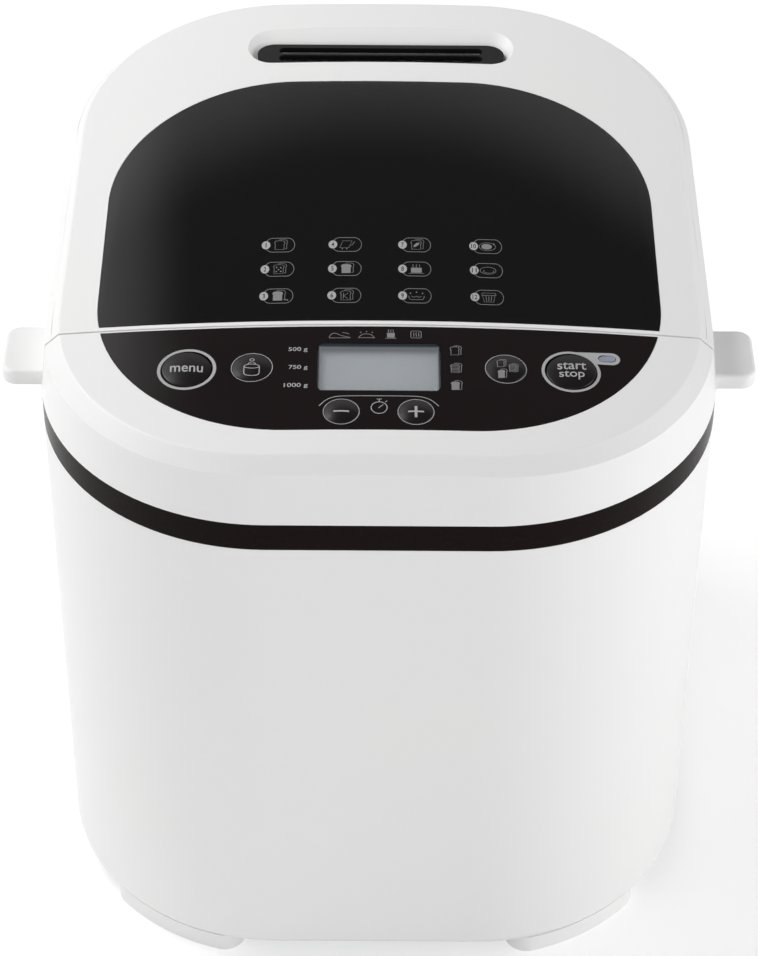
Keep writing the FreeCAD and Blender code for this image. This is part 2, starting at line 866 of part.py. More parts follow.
def make_lid_shell():
    form = upper_form("lid_form", "split_height + run_gap")
    soften_rim(form)
    slice_plan(form, f"{front} - overcut", lid_front)
    tabs = new_body("lid_tabs")
    tab_y = f"({front} + tab_front + tab_length / 2)"
    plan = rounded_rectangle("2 * tab_reach", "tab_length", "tab_corner", "0", tab_y)
    pad(tabs, outline(tabs, plan, lift="split_height + run_gap"), "tab_thick")
    tab_top = measure("split_height + run_gap + tab_thick")
    rims = edge_names(tabs.Shape, lambda edge: abs(edge.BoundBox.ZMin - tab_top) < 1e-6)
    dress(tabs, "Fillet", rims, Radius="rim_soften")
    cavity = upper_form("lid_cavity", "split_height", "wall", "wall")
    slice_plan(cavity, f"{front} - overcut", f"{lid_front} + wall")
    notch_y = f"({hinge_y} - knuckle_radius - run_gap)"
    notch = box(
        "hinge_notch",
        ("2 * notch_half", "2 * overcut", "hinge_rise"),
        "-notch_half",
        notch_y,
        "split_height",
    )
    window_seat = crowned("window_seat", window_plan("0"), "glass_thick + pin_gap", keep_below=False)
    ledge_top = crowned("window_ledge", window_plan("-wall"), "wall / 2")
    slice_plan(ledge_top, f"{front} - overcut", f"{lid_front} + wall / 2")
    under = crowned("window_under", window_plan("-overcut"), "glass_thick + wall")
    window_ledge = cut("window_ledge_ring", ledge_top, [under])
    window_hole = new_body("window_hole")
    pad(window_hole, outline(window_hole, window_plan("ledge"), lift="split_height"), "split_height / 2")
    vent_hole = new_body("vent_hole")
    slot = stadium("grille_slot + grille_bar", "grille_depth - grille_bar", "0", grille_y)
    pad(vent_hole, outline(vent_hole, slot, lift="split_height"), "split_height / 2")
    shelf = new_body("vent_shelf")
    plan = stadium("recess_width", "recess_back - grille_front + 2 * wall", "0", recess_y)
    pad(shelf, outline(shelf, plan, lift=f"{grille_z} - wall"), "2 * grille_sink + wall")
    crown_cut(shelf, "wall / 2")
    boss_low = f"({liner_z} + liner_sheet)"
    bosses = []
    for index, (x, y) in enumerate(boss_spots):
        height = f"{top_height(x, y)} - {boss_low} - wall / 2"
        bosses.append(cylinder(f"lid_boss_{index}", "boss_radius", height, x, y, boss_low))
    reliefs = []
    for side, start in knuckle_ends:
        for place_name, ear in (
            ("inner", f"{start} - 2 * run_gap - ear_width"),
            ("outer", f"{start} + knuckle_length"),
        ):
            name = f"ear_relief_{place_name}{side}".replace("-", "_left")
            room = ("ear_width + 2 * run_gap", "2 * overcut", "knuckle_radius + run_gap")
            reliefs.append(box(name, room, ear, notch_y, hinge_z))
    hollow = cut("lid_hollow", joined("lid_outer", [form, tabs]), [cavity, notch] + reliefs)
    knuckles = []
    for side, start in knuckle_ends:
        name = "knuckle" + side.replace("-", "_left")
        top = f"{hinge_z} + 2 * knuckle_radius"
        knuckles += hinge_lug(name, start, "knuckle_length", "knuckle_radius - 3 * run_gap", hinge_z, top)
    whole = joined("lid_ribbed", [hollow, shelf, window_ledge] + bosses + knuckles)
    bores = [
        cylinder(f"lid_boss_bore_{index}", "screw_radius + pin_gap", "4 * boss_radius", x, y, liner_z)
        for index, (x, y) in enumerate(boss_spots)
    ]
    tools = [window_seat, window_hole, recess_form("vent_recess"), vent_hole, pin_bore("knuckle_bore")]
    node(cut("lid_shell_cut", whole, tools + bores), "lid_shell")


def make_lid_window():
    glass = crowned("window_glass", window_plan("fit_gap"))
    below = crowned("window_below", window_plan("-overcut / 10"), "glass_thick")
    node(cut("window_cut", glass, [below]), "lid_window")


def make_vent_grille():
    body = node(new_body("vent_grille_body"), "vent_grille")
    plan = stadium("grille_width", "grille_depth", "0", grille_y)
    pad(body, outline(body, plan, lift=grille_z), "grille_thick")
    half = "((grille_depth - 2 * grille_bar - grille_rib) / 2)"
    offset = f"(grille_rib / 2 + {half} / 2)"
    sketch = blank_sketch(body, lift="2 * split_height")
    for sign in ("-", "+"):
        add_path(sketch, stadium("grille_slot", half, "0", f"({grille_y} {sign} {offset})"))
    pocket(body, sketch, "2 * split_height")


def make_lid_liner():
    body = node(new_body("lid_liner_body"), "lid_liner")
    sheet_plan = plan_behind("liner_inset", f"({lid_front} + 2 * wall)")
    pad(body, outline(body, sheet_plan, lift=liner_z), "liner_sheet")
    width = "(chamber_width + 2 * dome_margin)"
    depth = "(chamber_depth + 2 * dome_margin - 2 * liner_sheet)"
    corner = "(chamber_corner + dome_margin)"
    pad(body, outline(body, oven_plan(width, depth, corner), lift=liner_z), "dome_height")
    inner_width = f"({width} - 2 * liner_sheet)"
    inner_depth = f"({depth} - 2 * liner_sheet)"
    hollow = oven_plan(inner_width, inner_depth, f"({corner} - liner_sheet)")
    pocket(body, outline(body, hollow, lift=liner_z), "dome_height - liner_sheet", upward=True)
    view = oven_plan("pane_width - 2 * pane_lap", "pane_depth - 2 * pane_lap", "(pane_corner - pane_lap)")
    pocket(body, outline(body, view, lift="2 * split_height"), "2 * split_height")
    drill(body, boss_spots, "screw_radius + pin_gap")
    vent_row(body, "vent_length / 2", f"({chamber_back} - chamber_corner / 2)")


def make_inner_pane():
    body = node(new_body("inner_pane_body"), "inner_pane")
    plan = oven_plan("pane_width", "pane_depth", "pane_corner")
    pad(body, outline(body, plan, lift=f"{liner_z} + dome_height"), "pane_thick")


def make_liner_screws():
    screws = []
    for index, (x, y) in enumerate(boss_spots):
        head_z = f"{liner_z} - head_thick"
        head = cylinder(f"liner_head_{index}", "screw_head", "head_thick", x, y, head_z)
        stem = cylinder(f"liner_stem_{index}", "screw_radius", "head_thick + 3 * boss_radius", x, y, head_z)
        screws.append(joined(f"liner_screw_{index}", [head, stem]))
    node(gathered("liner_screw_set", screws), "liner_screws")


def make_hinge_pins():
    length = "(knuckle_length + 2 * ear_width)"
    pins = [
        rod_x(f"hinge_pin_{index}", "pin_radius", length, f"{start} - ear_width", hinge_y, hinge_z)
        for index, (_, start) in enumerate(knuckle_ends)
    ]
    node(gathered("hinge_pin_set", pins), "hinge_pins")


# Controls

row_y = f"({front} + row_setback)"
small_key_y = f"({front} + small_key_setback)"
light_y = f"({front} + light_setback)"
keys = {
    "menu_button": ("-big_key_x", row_y, "big_key"),
    "weight_button": ("-middle_key_x", row_y, "middle_key"),
    "crust_button": ("middle_key_x", row_y, "middle_key"),
    "start_stop_button": ("big_key_x", row_y, "big_key"),
    "minus_button": ("-small_key_x", small_key_y, "small_key"),
    "plus_button": ("small_key_x", small_key_y, "small_key"),
}
posts = [
    (sign + x, f"({front} + {setback})")
    for sign in ("-", "")
    for x, setback in (("post_back_x", "post_back"), ("post_front_x", "post_front"))
]


def on_slope(thing, x, y, sink="0"):
    slope_y = f"{y} + ({sink}) * sin(tilt)"
    slope_z = f"{top_height('0', y)} - ({sink}) * cos(tilt)"
    return place(thing, x, slope_y, slope_z, x_axis, "tilt")


def on_crown(thing, x, y, sink="0"):
    slope_y = f"{y} + ({sink}) * sin(tilt)"
    slope_z = f"{top_height(x, y)} - ({sink}) * cos(tilt)"
    return place(thing, x, slope_y, slope_z, x_axis, "tilt")


def crown_fall(x):
    return f"(({x}) ^ 2 / (2 * crown_radius))"


def slope_rod(name, radius, length, x, y, sink):
    thing = doc.addObject("Part::Cylinder", name)
    bind(thing, Radius=radius, Height=length)
    return on_slope(thing, x, y, sink)


def slope_block(name, vertices, height, x, y, sink):
    body = new_body(name)
    pad(body, outline(body, vertices), height)
    return on_slope(body, x, y, sink)


def make_control_housing():
    form = upper_form("housing_form", "split_height")
    soften_rim(form)
    slice_plan(form, housing_back, f"{back} + overcut")
    cavity = upper_form("housing_cavity", "split_height - wall", "wall", "wall")
    slice_plan(cavity, f"{housing_back} - wall", f"{back} + overcut")
    seat = crowned("panel_seat", panel_plan("0"), "panel_thick + pin_gap", keep_below=False)
    hole = new_body("panel_hole")
    pad(hole, outline(hole, panel_plan("panel_ledge"), lift="split_height"), "split_height / 2")
    rim = new_body("panel_ledge")
    pad(rim, outline(rim, panel_plan("-panel_web"), lift="split_height"), "split_height / 2")
    crown_cut(rim, "panel_thick")
    under = crowned("panel_under", panel_plan("-overcut"), "panel_thick + wall")
    ledge = cut("panel_ledge_ring", rim, [under])
    hollow = cut("housing_hollow", form, [cavity])
    whole = joined("housing_ledged", [hollow, ledge])
    node(cut("housing_cut", whole, [seat, hole]), "control_housing")


def make_control_panel():
    plate = crowned("panel_plate", panel_plan("fit_gap"))
    below = crowned("panel_below", panel_plan("-panel_web / 2"), "panel_thick")
    sheet_part = cut("panel_sheet", plate, [below])
    rods = []
    for index, (x, y) in enumerate(posts):
        length = f"board_depth - panel_thick / 2 - {crown_fall(x)}"
        rods.append(slope_rod(f"panel_post_{index}", "post_radius", length, x, y, "board_depth"))
    whole = joined("panel_posted", [sheet_part] + rods)
    reach = "2 * board_depth"
    sink = "board_depth - 2 * panel_thick"
    tools = [
        slope_rod(f"{name}_hole", f"{radius} + run_gap", reach, x, y, sink)
        for name, (x, y, radius) in keys.items()
    ]
    view = rounded_rectangle("lcd_width + 2 * fit_gap", "lcd_depth + 2 * fit_gap", "lcd_corner")
    tools.append(slope_block("lcd_hole", view, reach, "0", row_y, sink))
    light = stadium("light_length + 2 * fit_gap", "light_width + 2 * fit_gap")
    tools.append(slope_block("light_hole", light, reach, "light_x", light_y, sink))
    bores = [
        slope_rod(f"post_bore_{index}", "screw_radius + pin_gap", "board_depth / 2", x, y, "board_depth")
        for index, (x, y) in enumerate(posts)
    ]
    node(cut("panel_cut", whole, tools + bores), "control_panel")


def make_buttons():
    for label, (x, y, radius) in keys.items():
        body = node(new_body(label + "_body"), label)
        lean = f"(abs({x}) * ({radius} + key_flange) / crown_radius)"
        flange_top = f"-(panel_thick + run_gap + {lean})"
        flange_low = f"-(panel_thick + run_gap + key_flange + {lean})"
        stem_low = f"-(board_depth - switch_height - key_travel - run_gap - {crown_fall(x)})"
        rim = f"({radius} - key_edge)"
        dish = f"(({rim} ^ 2 + key_dish ^ 2) / (2 * key_dish))"
        profile = [
            ("0", "key_proud - key_dish", dish, 1),
            (rim, "key_proud", "key_edge", -1),
            (radius, "key_proud - key_edge"),
            (radius, flange_top),
            (f"{radius} + key_flange", flange_top),
            (f"{radius} + key_flange", flange_low),
            ("stem_radius", flange_low),
            ("stem_radius", stem_low),
            ("0", stem_low),
        ]
        revolve(body, profile)
        on_crown(body, x, y)


def make_display():
    view = rounded_rectangle("lcd_width", "lcd_depth", "lcd_corner")
    lens = slope_block("lcd_lens_body", view, "panel_thick - fit_gap", "0", row_y, "panel_thick")
    node(lens, "lcd_lens")
    plan = rounded_rectangle("lcd_width + 2 * lcd_border", "lcd_depth + lcd_border", "lcd_corner")
    fall = crown_fall("(lcd_width / 2 + lcd_border)")
    height = f"board_depth - panel_thick - fit_gap - {fall}"
    module = slope_block("lcd_module_body", plan, height, "0", row_y, "board_depth")
    node(module, "lcd_module")
    light = stadium("light_length", "light_width")
    sink = f"(panel_thick + {crown_fall('light_x')})"
    lens = slope_block("indicator_lens_body", light, "panel_thick - fit_gap / 2", "light_x", light_y, sink)
    node(lens, "indicator_lens")


def make_control_board():
    length = "(board_back - board_front)"
    middle = f"({front} + (board_back + board_front) / 2)"
    plan = rounded_rectangle("board_width", length, "lcd_corner")
    board = slope_block("control_board_slab", plan, "board_thick", "0", middle, "board_depth + board_thick")
    reach = "2 * board_depth"
    bores = [
        slope_rod(f"board_bore_{index}", "screw_radius + pin_gap", reach, x, y, reach)
        for index, (x, y) in enumerate(posts)
    ]
    node(cut("control_board_cut", board, bores), "control_board")
    components = []
    square = rectangle("-switch_size / 2", "switch_size / 2", "-switch_size / 2", "switch_size / 2")
    for label, (x, y, _) in keys.items():
        base = slope_block(label + "_switch", square, "switch_base", x, y, "board_depth")
        knob = slope_rod(label + "_plunger", "switch_size / 4", "switch_height", x, y, "board_depth")
        components.append(joined(label + "_tact", [base, knob]))
    length = f"board_depth - panel_thick - {crown_fall('light_x')} - fit_gap"
    led_radius = "light_width / 2 - fit_gap"
    components.append(slope_rod("status_led", led_radius, length, "light_x", light_y, "board_depth"))
    under = "(board_depth + board_thick + buzzer_height)"
    buzzer = slope_rod("buzzer_can", "buzzer_radius", "buzzer_height", "big_key_x", row_y, under)
    hole = slope_rod("buzzer_vent", "buzzer_hole", "buzzer_height / 2", "big_key_x", row_y, under)
    components.append(cut("buzzer_cut", buzzer, [hole]))
    node(gathered("board_component_set", components), "board_components")
    screws = []
    for index, (x, y) in enumerate(posts):
        sink = "board_depth + board_thick + head_thick"
        head = slope_rod(f"board_head_{index}", "screw_head", "head_thick", x, y, sink)
        length = "head_thick + board_thick + board_thread"
        stem = slope_rod(f"board_stem_{index}", "screw_radius", length, x, y, sink)
        screws.append(joined(f"board_screw_{index}", [head, stem]))
    node(gathered("board_screw_set", screws), "board_screws")


# Oven chamber

oven_middle = [("0", "chamber_y")]
chamber_front = "(chamber_y - chamber_depth / 2)"
chamber_floor = "(frame_height + frame_thick)"
deck_top = "(deck_height + deck_thick)"
heater_half = "(chamber_width / 2 - heater_inset)"
heater_near = f"({chamber_front} + heater_inset)"
heater_far = f"({chamber_back} - heater_inset)"


def make_chamber_deck():
    body = node(new_body("chamber_deck_body"), "chamber_deck")
    near = f"({housing_back} - wall)"
    pad(body, outline(body, plan_behind("wall + 2 * fit_gap", near), lift="deck_height"), "deck_thick")
    half = "(body_width / 2 - deck_margin)"
    wall_plan = rectangle(f"-{half}", half, near, housing_back)
    pad(body, outline(body, wall_plan, lift="deck_height"), "split_height - deck_height")
    corner = "(chamber_corner + fit_gap)"
    hole = oven_plan("chamber_width + 2 * fit_gap", "chamber_depth + 2 * fit_gap", corner)
    pocket(body, outline(body, hole, lift="2 * split_height"), "2 * split_height")


def chamber_outline(grow):
    width = f"chamber_width + 2 * {grow}"
    depth = f"chamber_depth + 2 * {grow}"
    return oven_plan(width, depth, f"(chamber_corner + {grow})")


def make_baking_chamber():
    body = node(new_body("baking_chamber_body"), "baking_chamber")
    depth = f"{deck_top} - {chamber_floor}"
    pad(body, outline(body, chamber_outline("0"), lift=chamber_floor), depth)
    pad(body, outline(body, chamber_outline("chamber_lip"), lift=deck_top), "chamber_sheet")
    hollow = chamber_outline("(-chamber_sheet)")
    pocket(body, outline(body, hollow, lift=f"{deck_top} + chamber_sheet"), depth)
    hub_hole = circles(body, oven_middle, "bearing_tube + fit_gap", lift="oven_floor")
    pocket(body, hub_hole, "2 * chamber_sheet")
    face = f"-({chamber_front} - chamber_sheet)"
    ends = [("-heater_end_x", "heater_height"), ("heater_end_x", "heater_height")]
    pocket(body, circles(body, ends, "heater_radius + fit_gap", "XZ_Plane", face), "4 * chamber_sheet")
    probe = [("-sensor_x", "sensor_height")]
    pocket(body, circles(body, probe, "sensor_radius + fit_gap", "XZ_Plane", face), "4 * chamber_sheet")


def pipe(body, path, profile_plane, lift, centre, radius, path_lift):
    spine = add_path(blank_sketch(body, lift=path_lift), path, closed=False)
    profile = circles(body, [centre], radius, profile_plane, lift)
    feature = body.newObject("PartDesign::AdditivePipe", body.Name + "_pipe")
    feature.Profile = profile
    feature.Spine = (spine, [])
    doc.recompute()
    return feature


def make_heating_element():
    body = node(new_body("heating_element_body"), "heating_element")
    tail = f"({chamber_front} - heater_tail)"
    inner = "(heater_end_x + heater_bend)"
    corner = f"({heater_half} - heater_corner)"
    path = [
        ("heater_end_x", tail),
        ("heater_end_x", f"{heater_near} - heater_bend", "heater_bend", -1),
        (inner, heater_near),
        (corner, heater_near, "heater_corner", 1),
        (heater_half, f"{heater_near} + heater_corner"),
        (heater_half, f"{heater_far} - heater_corner", "heater_corner", 1),
        (corner, heater_far),
        (f"-{corner}", heater_far, "heater_corner", 1),
        (f"-{heater_half}", f"{heater_far} - heater_corner"),
        (f"-{heater_half}", f"{heater_near} + heater_corner", "heater_corner", 1),
        (f"-{corner}", heater_near),
        (f"-{inner}", heater_near, "heater_bend", -1),
        ("-heater_end_x", f"{heater_near} - heater_bend"),
        ("-heater_end_x", tail),
    ]
    end = ("heater_end_x", "heater_height")
    pipe(body, path, "XZ_Plane", f"-{tail}", end, "heater_radius", "heater_height")


def make_element_clips():
    wall_x = "(chamber_width / 2 - chamber_sheet)"
    wall_y = f"({chamber_back} - chamber_sheet)"
    low = "(heater_height - clip_height / 2)"
    near = "chamber_y - clip_length / 2"
    side = (f"({wall_x} - {heater_half})", "clip_length", "clip_height")
    rear = ("clip_length", f"{wall_y} - {heater_far}", "clip_height")
    blocks = [
        box("clip_block_left", side, f"-{wall_x}", near, low),
        box("clip_block_right", side, heater_half, near, low),
        box("clip_block_rear", rear, "-clip_length / 2", heater_far, low),
    ]
    groove = "heater_radius + pin_gap"
    length = "2 * clip_length"
    start = "chamber_y - clip_length"
    grooves = [
        rod_y("clip_groove_left", groove, length, f"-{heater_half}", start, "heater_height"),
        rod_y("clip_groove_right", groove, length, heater_half, start, "heater_height"),
        rod_x("clip_groove_rear", groove, length, "-clip_length", heater_far, "heater_height"),
    ]
    clips = [cut(block.Name + "_cut", block, [tool]) for block, tool in zip(blocks, grooves)]
    node(gathered("clip_set", clips), "element_clips")


def make_sensors():
    flange_y = f"({chamber_front} - 2 * chamber_sheet)"
    spot = ("-sensor_x", flange_y, "sensor_height")
    flange = rod_y("sensor_flange", "2 * sensor_radius", "2 * chamber_sheet", *spot)
    probe = rod_y("sensor_probe", "sensor_radius", "sensor_reach", *spot)
    node(joined("sensor_solid", [flange, probe]), "temperature_sensor")
    fuse_y = f"({chamber_front} - fuse_radius)"
    rod = rod_x("fuse_rod", "fuse_radius", "fuse_length", "-fuse_length / 2", fuse_y, "fuse_height")
    strap = box(
        "fuse_strap_block",
        ("fuse_strap", "2 * fuse_radius + chamber_sheet", "4 * fuse_radius"),
        "-fuse_strap / 2",
        f"{chamber_front} - 2 * fuse_radius - chamber_sheet",
        "fuse_height - 2 * fuse_radius",
    )
    node(joined("fuse_solid", [rod, strap]), "thermal_fuse")


# Pan

pan_rim = "(pan_bottom + pan_height)"
pivot_z = f"({pan_rim} - pivot_drop)"
seat_top = "(oven_floor + seat_height)"


def pan_half(width, z):
    return f"({width} / 2 + ({z} - pan_bottom) * tan(pan_lean))"


lug_face = f"({pan_half('pan_width', pan_rim)} + lug_thick)"
bail_x = f"({lug_face} + bail_bend + run_gap)"
dog_bottom = f"({seat_top} + dog_base)"


def make_pan_seat():
    body = node(new_body("pan_seat_body"), "pan_seat")
    pad(body, circles(body, oven_middle, "seat_radius", lift="oven_floor"), "seat_height")
    arms = oven_plan("2 * (seat_radius + lug_width)", "lug_width", "lug_corner")
    pad(body, outline(body, arms, lift="oven_floor"), "frame_thick")
    drill(body, oven_middle, "seat_inner")


def make_bread_pan():
    body = new_body("bread_pan_form")
    plan = oven_plan("pan_width", "pan_depth", "pan_corner")
    pad(body, outline(body, plan, lift="pan_bottom"), "pan_height", lean="pan_lean")
    rim_x = pan_half("pan_width", pan_rim)
    rim_y = pan_half("pan_depth", pan_rim)
    rim_corner = "(pan_corner + pan_height * tan(pan_lean) + pan_lip)"
    lip = oven_plan(f"2 * ({rim_x} + pan_lip)", f"2 * ({rim_y} + pan_lip)", rim_corner)
    pad(body, outline(body, lip, lift=f"{pan_rim} - pan_sheet"), "pan_sheet")
    lugs = oven_plan(f"2 * {lug_face}", "lug_width", "lug_thick / 2")
    pad(body, outline(body, lugs, lift=f"{pan_rim} - lug_depth"), "lug_depth - pan_sheet")
    hollow = oven_plan("pan_width - 2 * pan_sheet", "pan_depth - 2 * pan_sheet", "(pan_corner - pan_sheet)")
    inside = outline(body, hollow, lift="pan_bottom + pan_sheet")
    pocket(body, inside, "pan_height + overcut", lean="pan_lean", upward=True)
    drill(body, oven_middle, "bush_radius + pin_gap")
    bore_start = f"-2 * {lug_face}"
    bore = rod_x("pivot_bore", "bail_radius + bail_gap", f"4 * {lug_face}", bore_start, "chamber_y", pivot_z)
    keep = new_body("pan_inside")
    pad(keep, outline(keep, oven_plan(f"2 * {rim_x}", "pan_depth", "pan_corner")), pan_rim)
    node(cut("bread_pan_cut", body, [cut("pivot_holes", bore, [keep])]), "bread_pan")


def make_pan_base():
    body = node(new_body("pan_base_body"), "pan_base")
    skirt_low = "(oven_floor + frame_thick + rest_gap)"
    step = f"({seat_top} + rest_gap)"
    profile = [
        ("skirt_inner", skirt_low),
        ("seat_inner - run_gap", skirt_low),
        ("seat_inner - run_gap", step),
        ("seat_radius", step),
        ("seat_radius", f"{step} + frame_thick"),
        ("seat_inner", "pan_bottom"),
        ("skirt_inner", "pan_bottom"),
    ]
    revolve(body, profile)
    place(body, y="chamber_y")


def make_pan_handle():
    body = node(new_body("pan_handle_body"), "pan_handle")
    start = f"({lug_face} - lug_thick + run_gap)"
    reach_y = "(chamber_y - bail_reach)"
    path = [
        (start, "chamber_y"),
        (f"{bail_x} - bail_bend", "chamber_y", "bail_bend", -1),
        (bail_x, "chamber_y - bail_bend"),
        (bail_x, f"{reach_y} + bail_corner", "bail_corner", -1),
        (f"{bail_x} - bail_corner", reach_y),
        (f"-({bail_x} - bail_corner)", reach_y, "bail_corner", -1),
        (f"-{bail_x}", f"{reach_y} + bail_corner"),
        (f"-{bail_x}", "chamber_y - bail_bend", "bail_bend", -1),
        (f"-({bail_x} - bail_bend)", "chamber_y"),
        (f"-{start}", "chamber_y"),
    ]
    pipe(body, path, "YZ_Plane", start, ("chamber_y", pivot_z), "bail_radius", pivot_z)


shaft_low = f"({dog_bottom} + dog_gap)"
bush_low = f"({shaft_low} + dog_height - 2 * dog_gap + run_gap)"
bush_top = "(pan_bottom + pan_sheet + bush_height)"
paddle_low = f"({bush_top} + seal_thick + run_gap)"
paddle_top = f"({paddle_low} + paddle_height)"


def tube(label, inner, outer, low, high):
    body = new_body(label + "_tube")
    revolve(body, [(inner, low), (outer, low), (outer, high), (inner, high)])
    return place(body, y="chamber_y")


def make_pan_drive():
    body = node(new_body("pan_bush_body"), "pan_bush")
    inner = "shaft_radius + pin_gap"
    floor = "pan_bottom + pan_sheet"
    profile = [
        (inner, bush_low),
        ("bush_radius", bush_low),
        ("bush_radius", floor),
        ("bush_flange", floor),
        ("bush_flange", f"{floor} + seal_thick"),
        ("bush_radius", f"{floor} + 2 * seal_thick"),
        ("bush_radius", bush_top),
        (inner, bush_top),
    ]
    revolve(body, profile)
    place(body, y="chamber_y")
    node(tube("shaft_seal", inner, "bush_radius", bush_top, f"{bush_top} + seal_thick"), "shaft_seal")
    length = f"{paddle_top} - {shaft_low} - pin_gap"
    rod = cylinder("pan_shaft_rod", "shaft_radius", length, "0", "chamber_y", shaft_low)
    node(rod, "pan_shaft")
    body = node(new_body("pan_coupling_body"), "pan_coupling")
    bar = oven_plan("dog_width", "2 * dog_radius", "dog_corner")
    pad(body, outline(body, bar, lift=shaft_low), "dog_height - 3 * dog_gap")
    pad(body, circles(body, oven_middle, "bush_radius", lift=shaft_low), "dog_height - 2 * dog_gap")
    drill(body, oven_middle, inner)


def make_kneading_paddle():
    body = node(new_body("kneading_paddle_body"), "kneading_paddle")
    hub = circles(body, [("0", "0")], "paddle_hub", lift=paddle_low)
    pad(body, hub, "paddle_height", lean="-pan_lean")
    heel = f"{paddle_low} + dog_gap"
    blade = [
        ("0", heel),
        ("paddle_reach - paddle_blade / 2", heel, "paddle_blade / 2", 1),
        ("paddle_reach", f"{heel} + paddle_blade / 2", "paddle_blade / 2", 1),
        ("paddle_reach - paddle_blade / 2", f"{heel} + paddle_blade"),
        ("0", f"{heel} + paddle_blade"),
    ]
    pad(body, outline(body, blade, "XZ_Plane"), "paddle_thick", side="Symmetric")
    drill(body, [("0", "0")], "shaft_radius + pin_gap")
    place(body, y="chamber_y")


# Drive train

motor_middle = [("0", "motor_y")]


def make_drive_frame():
    body = node(new_body("drive_frame_body"), "drive_frame")
    near = "(motor_y - stator_size / 2 - frame_margin)"
    far = "(chamber_y + seat_radius + lug_width)"
    plate = rectangle("-frame_half", "frame_half", near, far)
    pad(body, outline(body, plate, lift="frame_height"), "frame_thick")
    legs = blank_sketch(body, lift="floor_top")
    for x in ("-frame_half", "frame_half - leg_size"):
        for y in (near, f"{far} - leg_size"):
            add_path(legs, rectangle(x, f"{x} + leg_size", y, f"{y} + leg_size"))
    pad(body, legs, "frame_height - floor_top")
    drill(body, oven_middle + motor_middle, "bearing_tube + fit_gap")


def make_bearings():
    body = node(new_body("bearing_housing_body"), "bearing_housing")
    low = "(frame_height - bearing_drop)"
    profile = [
        ("bearing_bore", low),
        ("bearing_tube", low),
        ("bearing_tube", "oven_floor"),
        ("bearing_flange", "oven_floor"),
        ("bearing_flange", "oven_floor + frame_thick"),
        ("bearing_tube", "oven_floor + frame_thick"),
        ("bearing_tube", f"{seat_top} - run_gap"),
        ("bearing_bore", f"{seat_top} - run_gap"),
    ]
    revolve(body, profile)
    place(body, y="chamber_y")
    inner = "shaft_radius + pin_gap"
    outer = "bearing_bore - pin_gap / 2"
    lower = tube("lower_bush", inner, outer, low, f"{low} + bush_length")
    upper = tube("upper_bush", inner, outer, f"{seat_top} - run_gap - bush_length", f"{seat_top} - run_gap")
    node(gathered("bush_set", [lower, upper]), "bearing_bushes")


def make_drive_shaft():
    length = f"{dog_bottom} - pulley_bottom"
    rod = cylinder("drive_shaft_rod", "shaft_radius", length, "0", "chamber_y", "pulley_bottom")
    node(rod, "drive_shaft")
    body = node(new_body("drive_coupling_body"), "drive_coupling")
    pad(body, circles(body, oven_middle, "dog_radius", lift=seat_top), "dog_base")
    fingers = blank_sketch(body, lift=seat_top)
    for left, right in (("-dog_radius", "-dog_inner"), ("dog_inner", "dog_radius")):
        add_path(fingers, rectangle(left, right, "chamber_y - dog_width / 2", "chamber_y + dog_width / 2"))
    pad(body, fingers, "dog_base + dog_height")
    drill(body, oven_middle, "shaft_radius + pin_gap")


def pulley(label, radius, bore, y):
    body = node(new_body(label + "_body"), label)
    low = "pulley_bottom"
    high = "(pulley_bottom + pulley_thick)"
    edge = "((pulley_thick - belt_width) / 2 - belt_gap)"
    rim = f"({radius} + pulley_rim)"
    profile = [
        (f"{bore} + pin_gap", low),
        (rim, low),
        (rim, f"{low} + {edge}"),
        (radius, f"{low} + {edge}"),
        (radius, f"{high} - {edge}"),
        (rim, f"{high} - {edge}"),
        (rim, high),
        (f"{bore} + pin_gap", high),
    ]
    revolve(body, profile)
    place(body, y=y)
    return body


def make_pulleys():
    body = pulley("large_pulley", "large_pulley", "shaft_radius", "chamber_y")
    web_outer = "(large_pulley - 2 * pulley_web)"
    for lift in ("pulley_bottom + pulley_thick", "pulley_bottom + pulley_web"):
        ring = circles(body, [("0", "0")], web_outer, lift=lift)
        add_circle(ring, "0", "0", "bearing_tube")
        pocket(body, ring, "(pulley_thick - pulley_web) / 2")
    hole_spot = f"(({web_outer} + bearing_tube) / 2)"
    hole_radius = f"(({web_outer} - bearing_tube) / 2 - pulley_web)"
    hole = circles(body, [(hole_spot, "0")], hole_radius, lift="split_height")
    window = pocket(body, hole, "split_height")
    pattern = body.newObject("PartDesign::PolarPattern", "large_pulley_windows")
    pattern.Originals = [window]
    pattern.Axis = (hole, ["N_Axis"])
    bind(pattern, Angle="360", Occurrences="pulley_holes")
    body.Tip = pattern
    doc.recompute()
    pulley("motor_pulley", "small_pulley", "motor_shaft", "motor_y")


def belt_path(extra):
    span = "(chamber_y - (motor_y))"
    large = f"(large_pulley + {extra})"
    small = f"(small_pulley + {extra})"
    lean = f"asin((large_pulley - small_pulley) / {span})"
    spots = [
        (f"-{large} * cos({lean})", f"chamber_y - {large} * sin({lean})"),
        (f"-{small} * cos({lean})", f"motor_y - {small} * sin({lean})"),
        ("0", f"motor_y - {small}"),
        (f"{small} * cos({lean})", f"motor_y - {small} * sin({lean})"),
        (f"{large} * cos({lean})", f"chamber_y - {large} * sin({lean})"),
        ("0", f"chamber_y + {large}"),
    ]
    return [
        spots[0],
        (*spots[1], small, 1),
        (*spots[2], small, 1),
        spots[3],
        (*spots[4], large, 1),
        (*spots[5], large, 1),
    ]


def make_drive_belt():
    body = node(new_body("drive_belt_body"), "drive_belt")
    sketch = blank_sketch(body, lift="pulley_bottom + (pulley_thick - belt_width) / 2")
    add_path(sketch, belt_path("belt_gap + belt_thick"))
    add_path(sketch, belt_path("belt_gap"))
    pad(body, sketch, "belt_width")


stator_low = f"({chamber_floor} + bell_height)"
stator_top = f"({stator_low} + stator_height)"
coil_length = "(bell_height - frame_thick)"


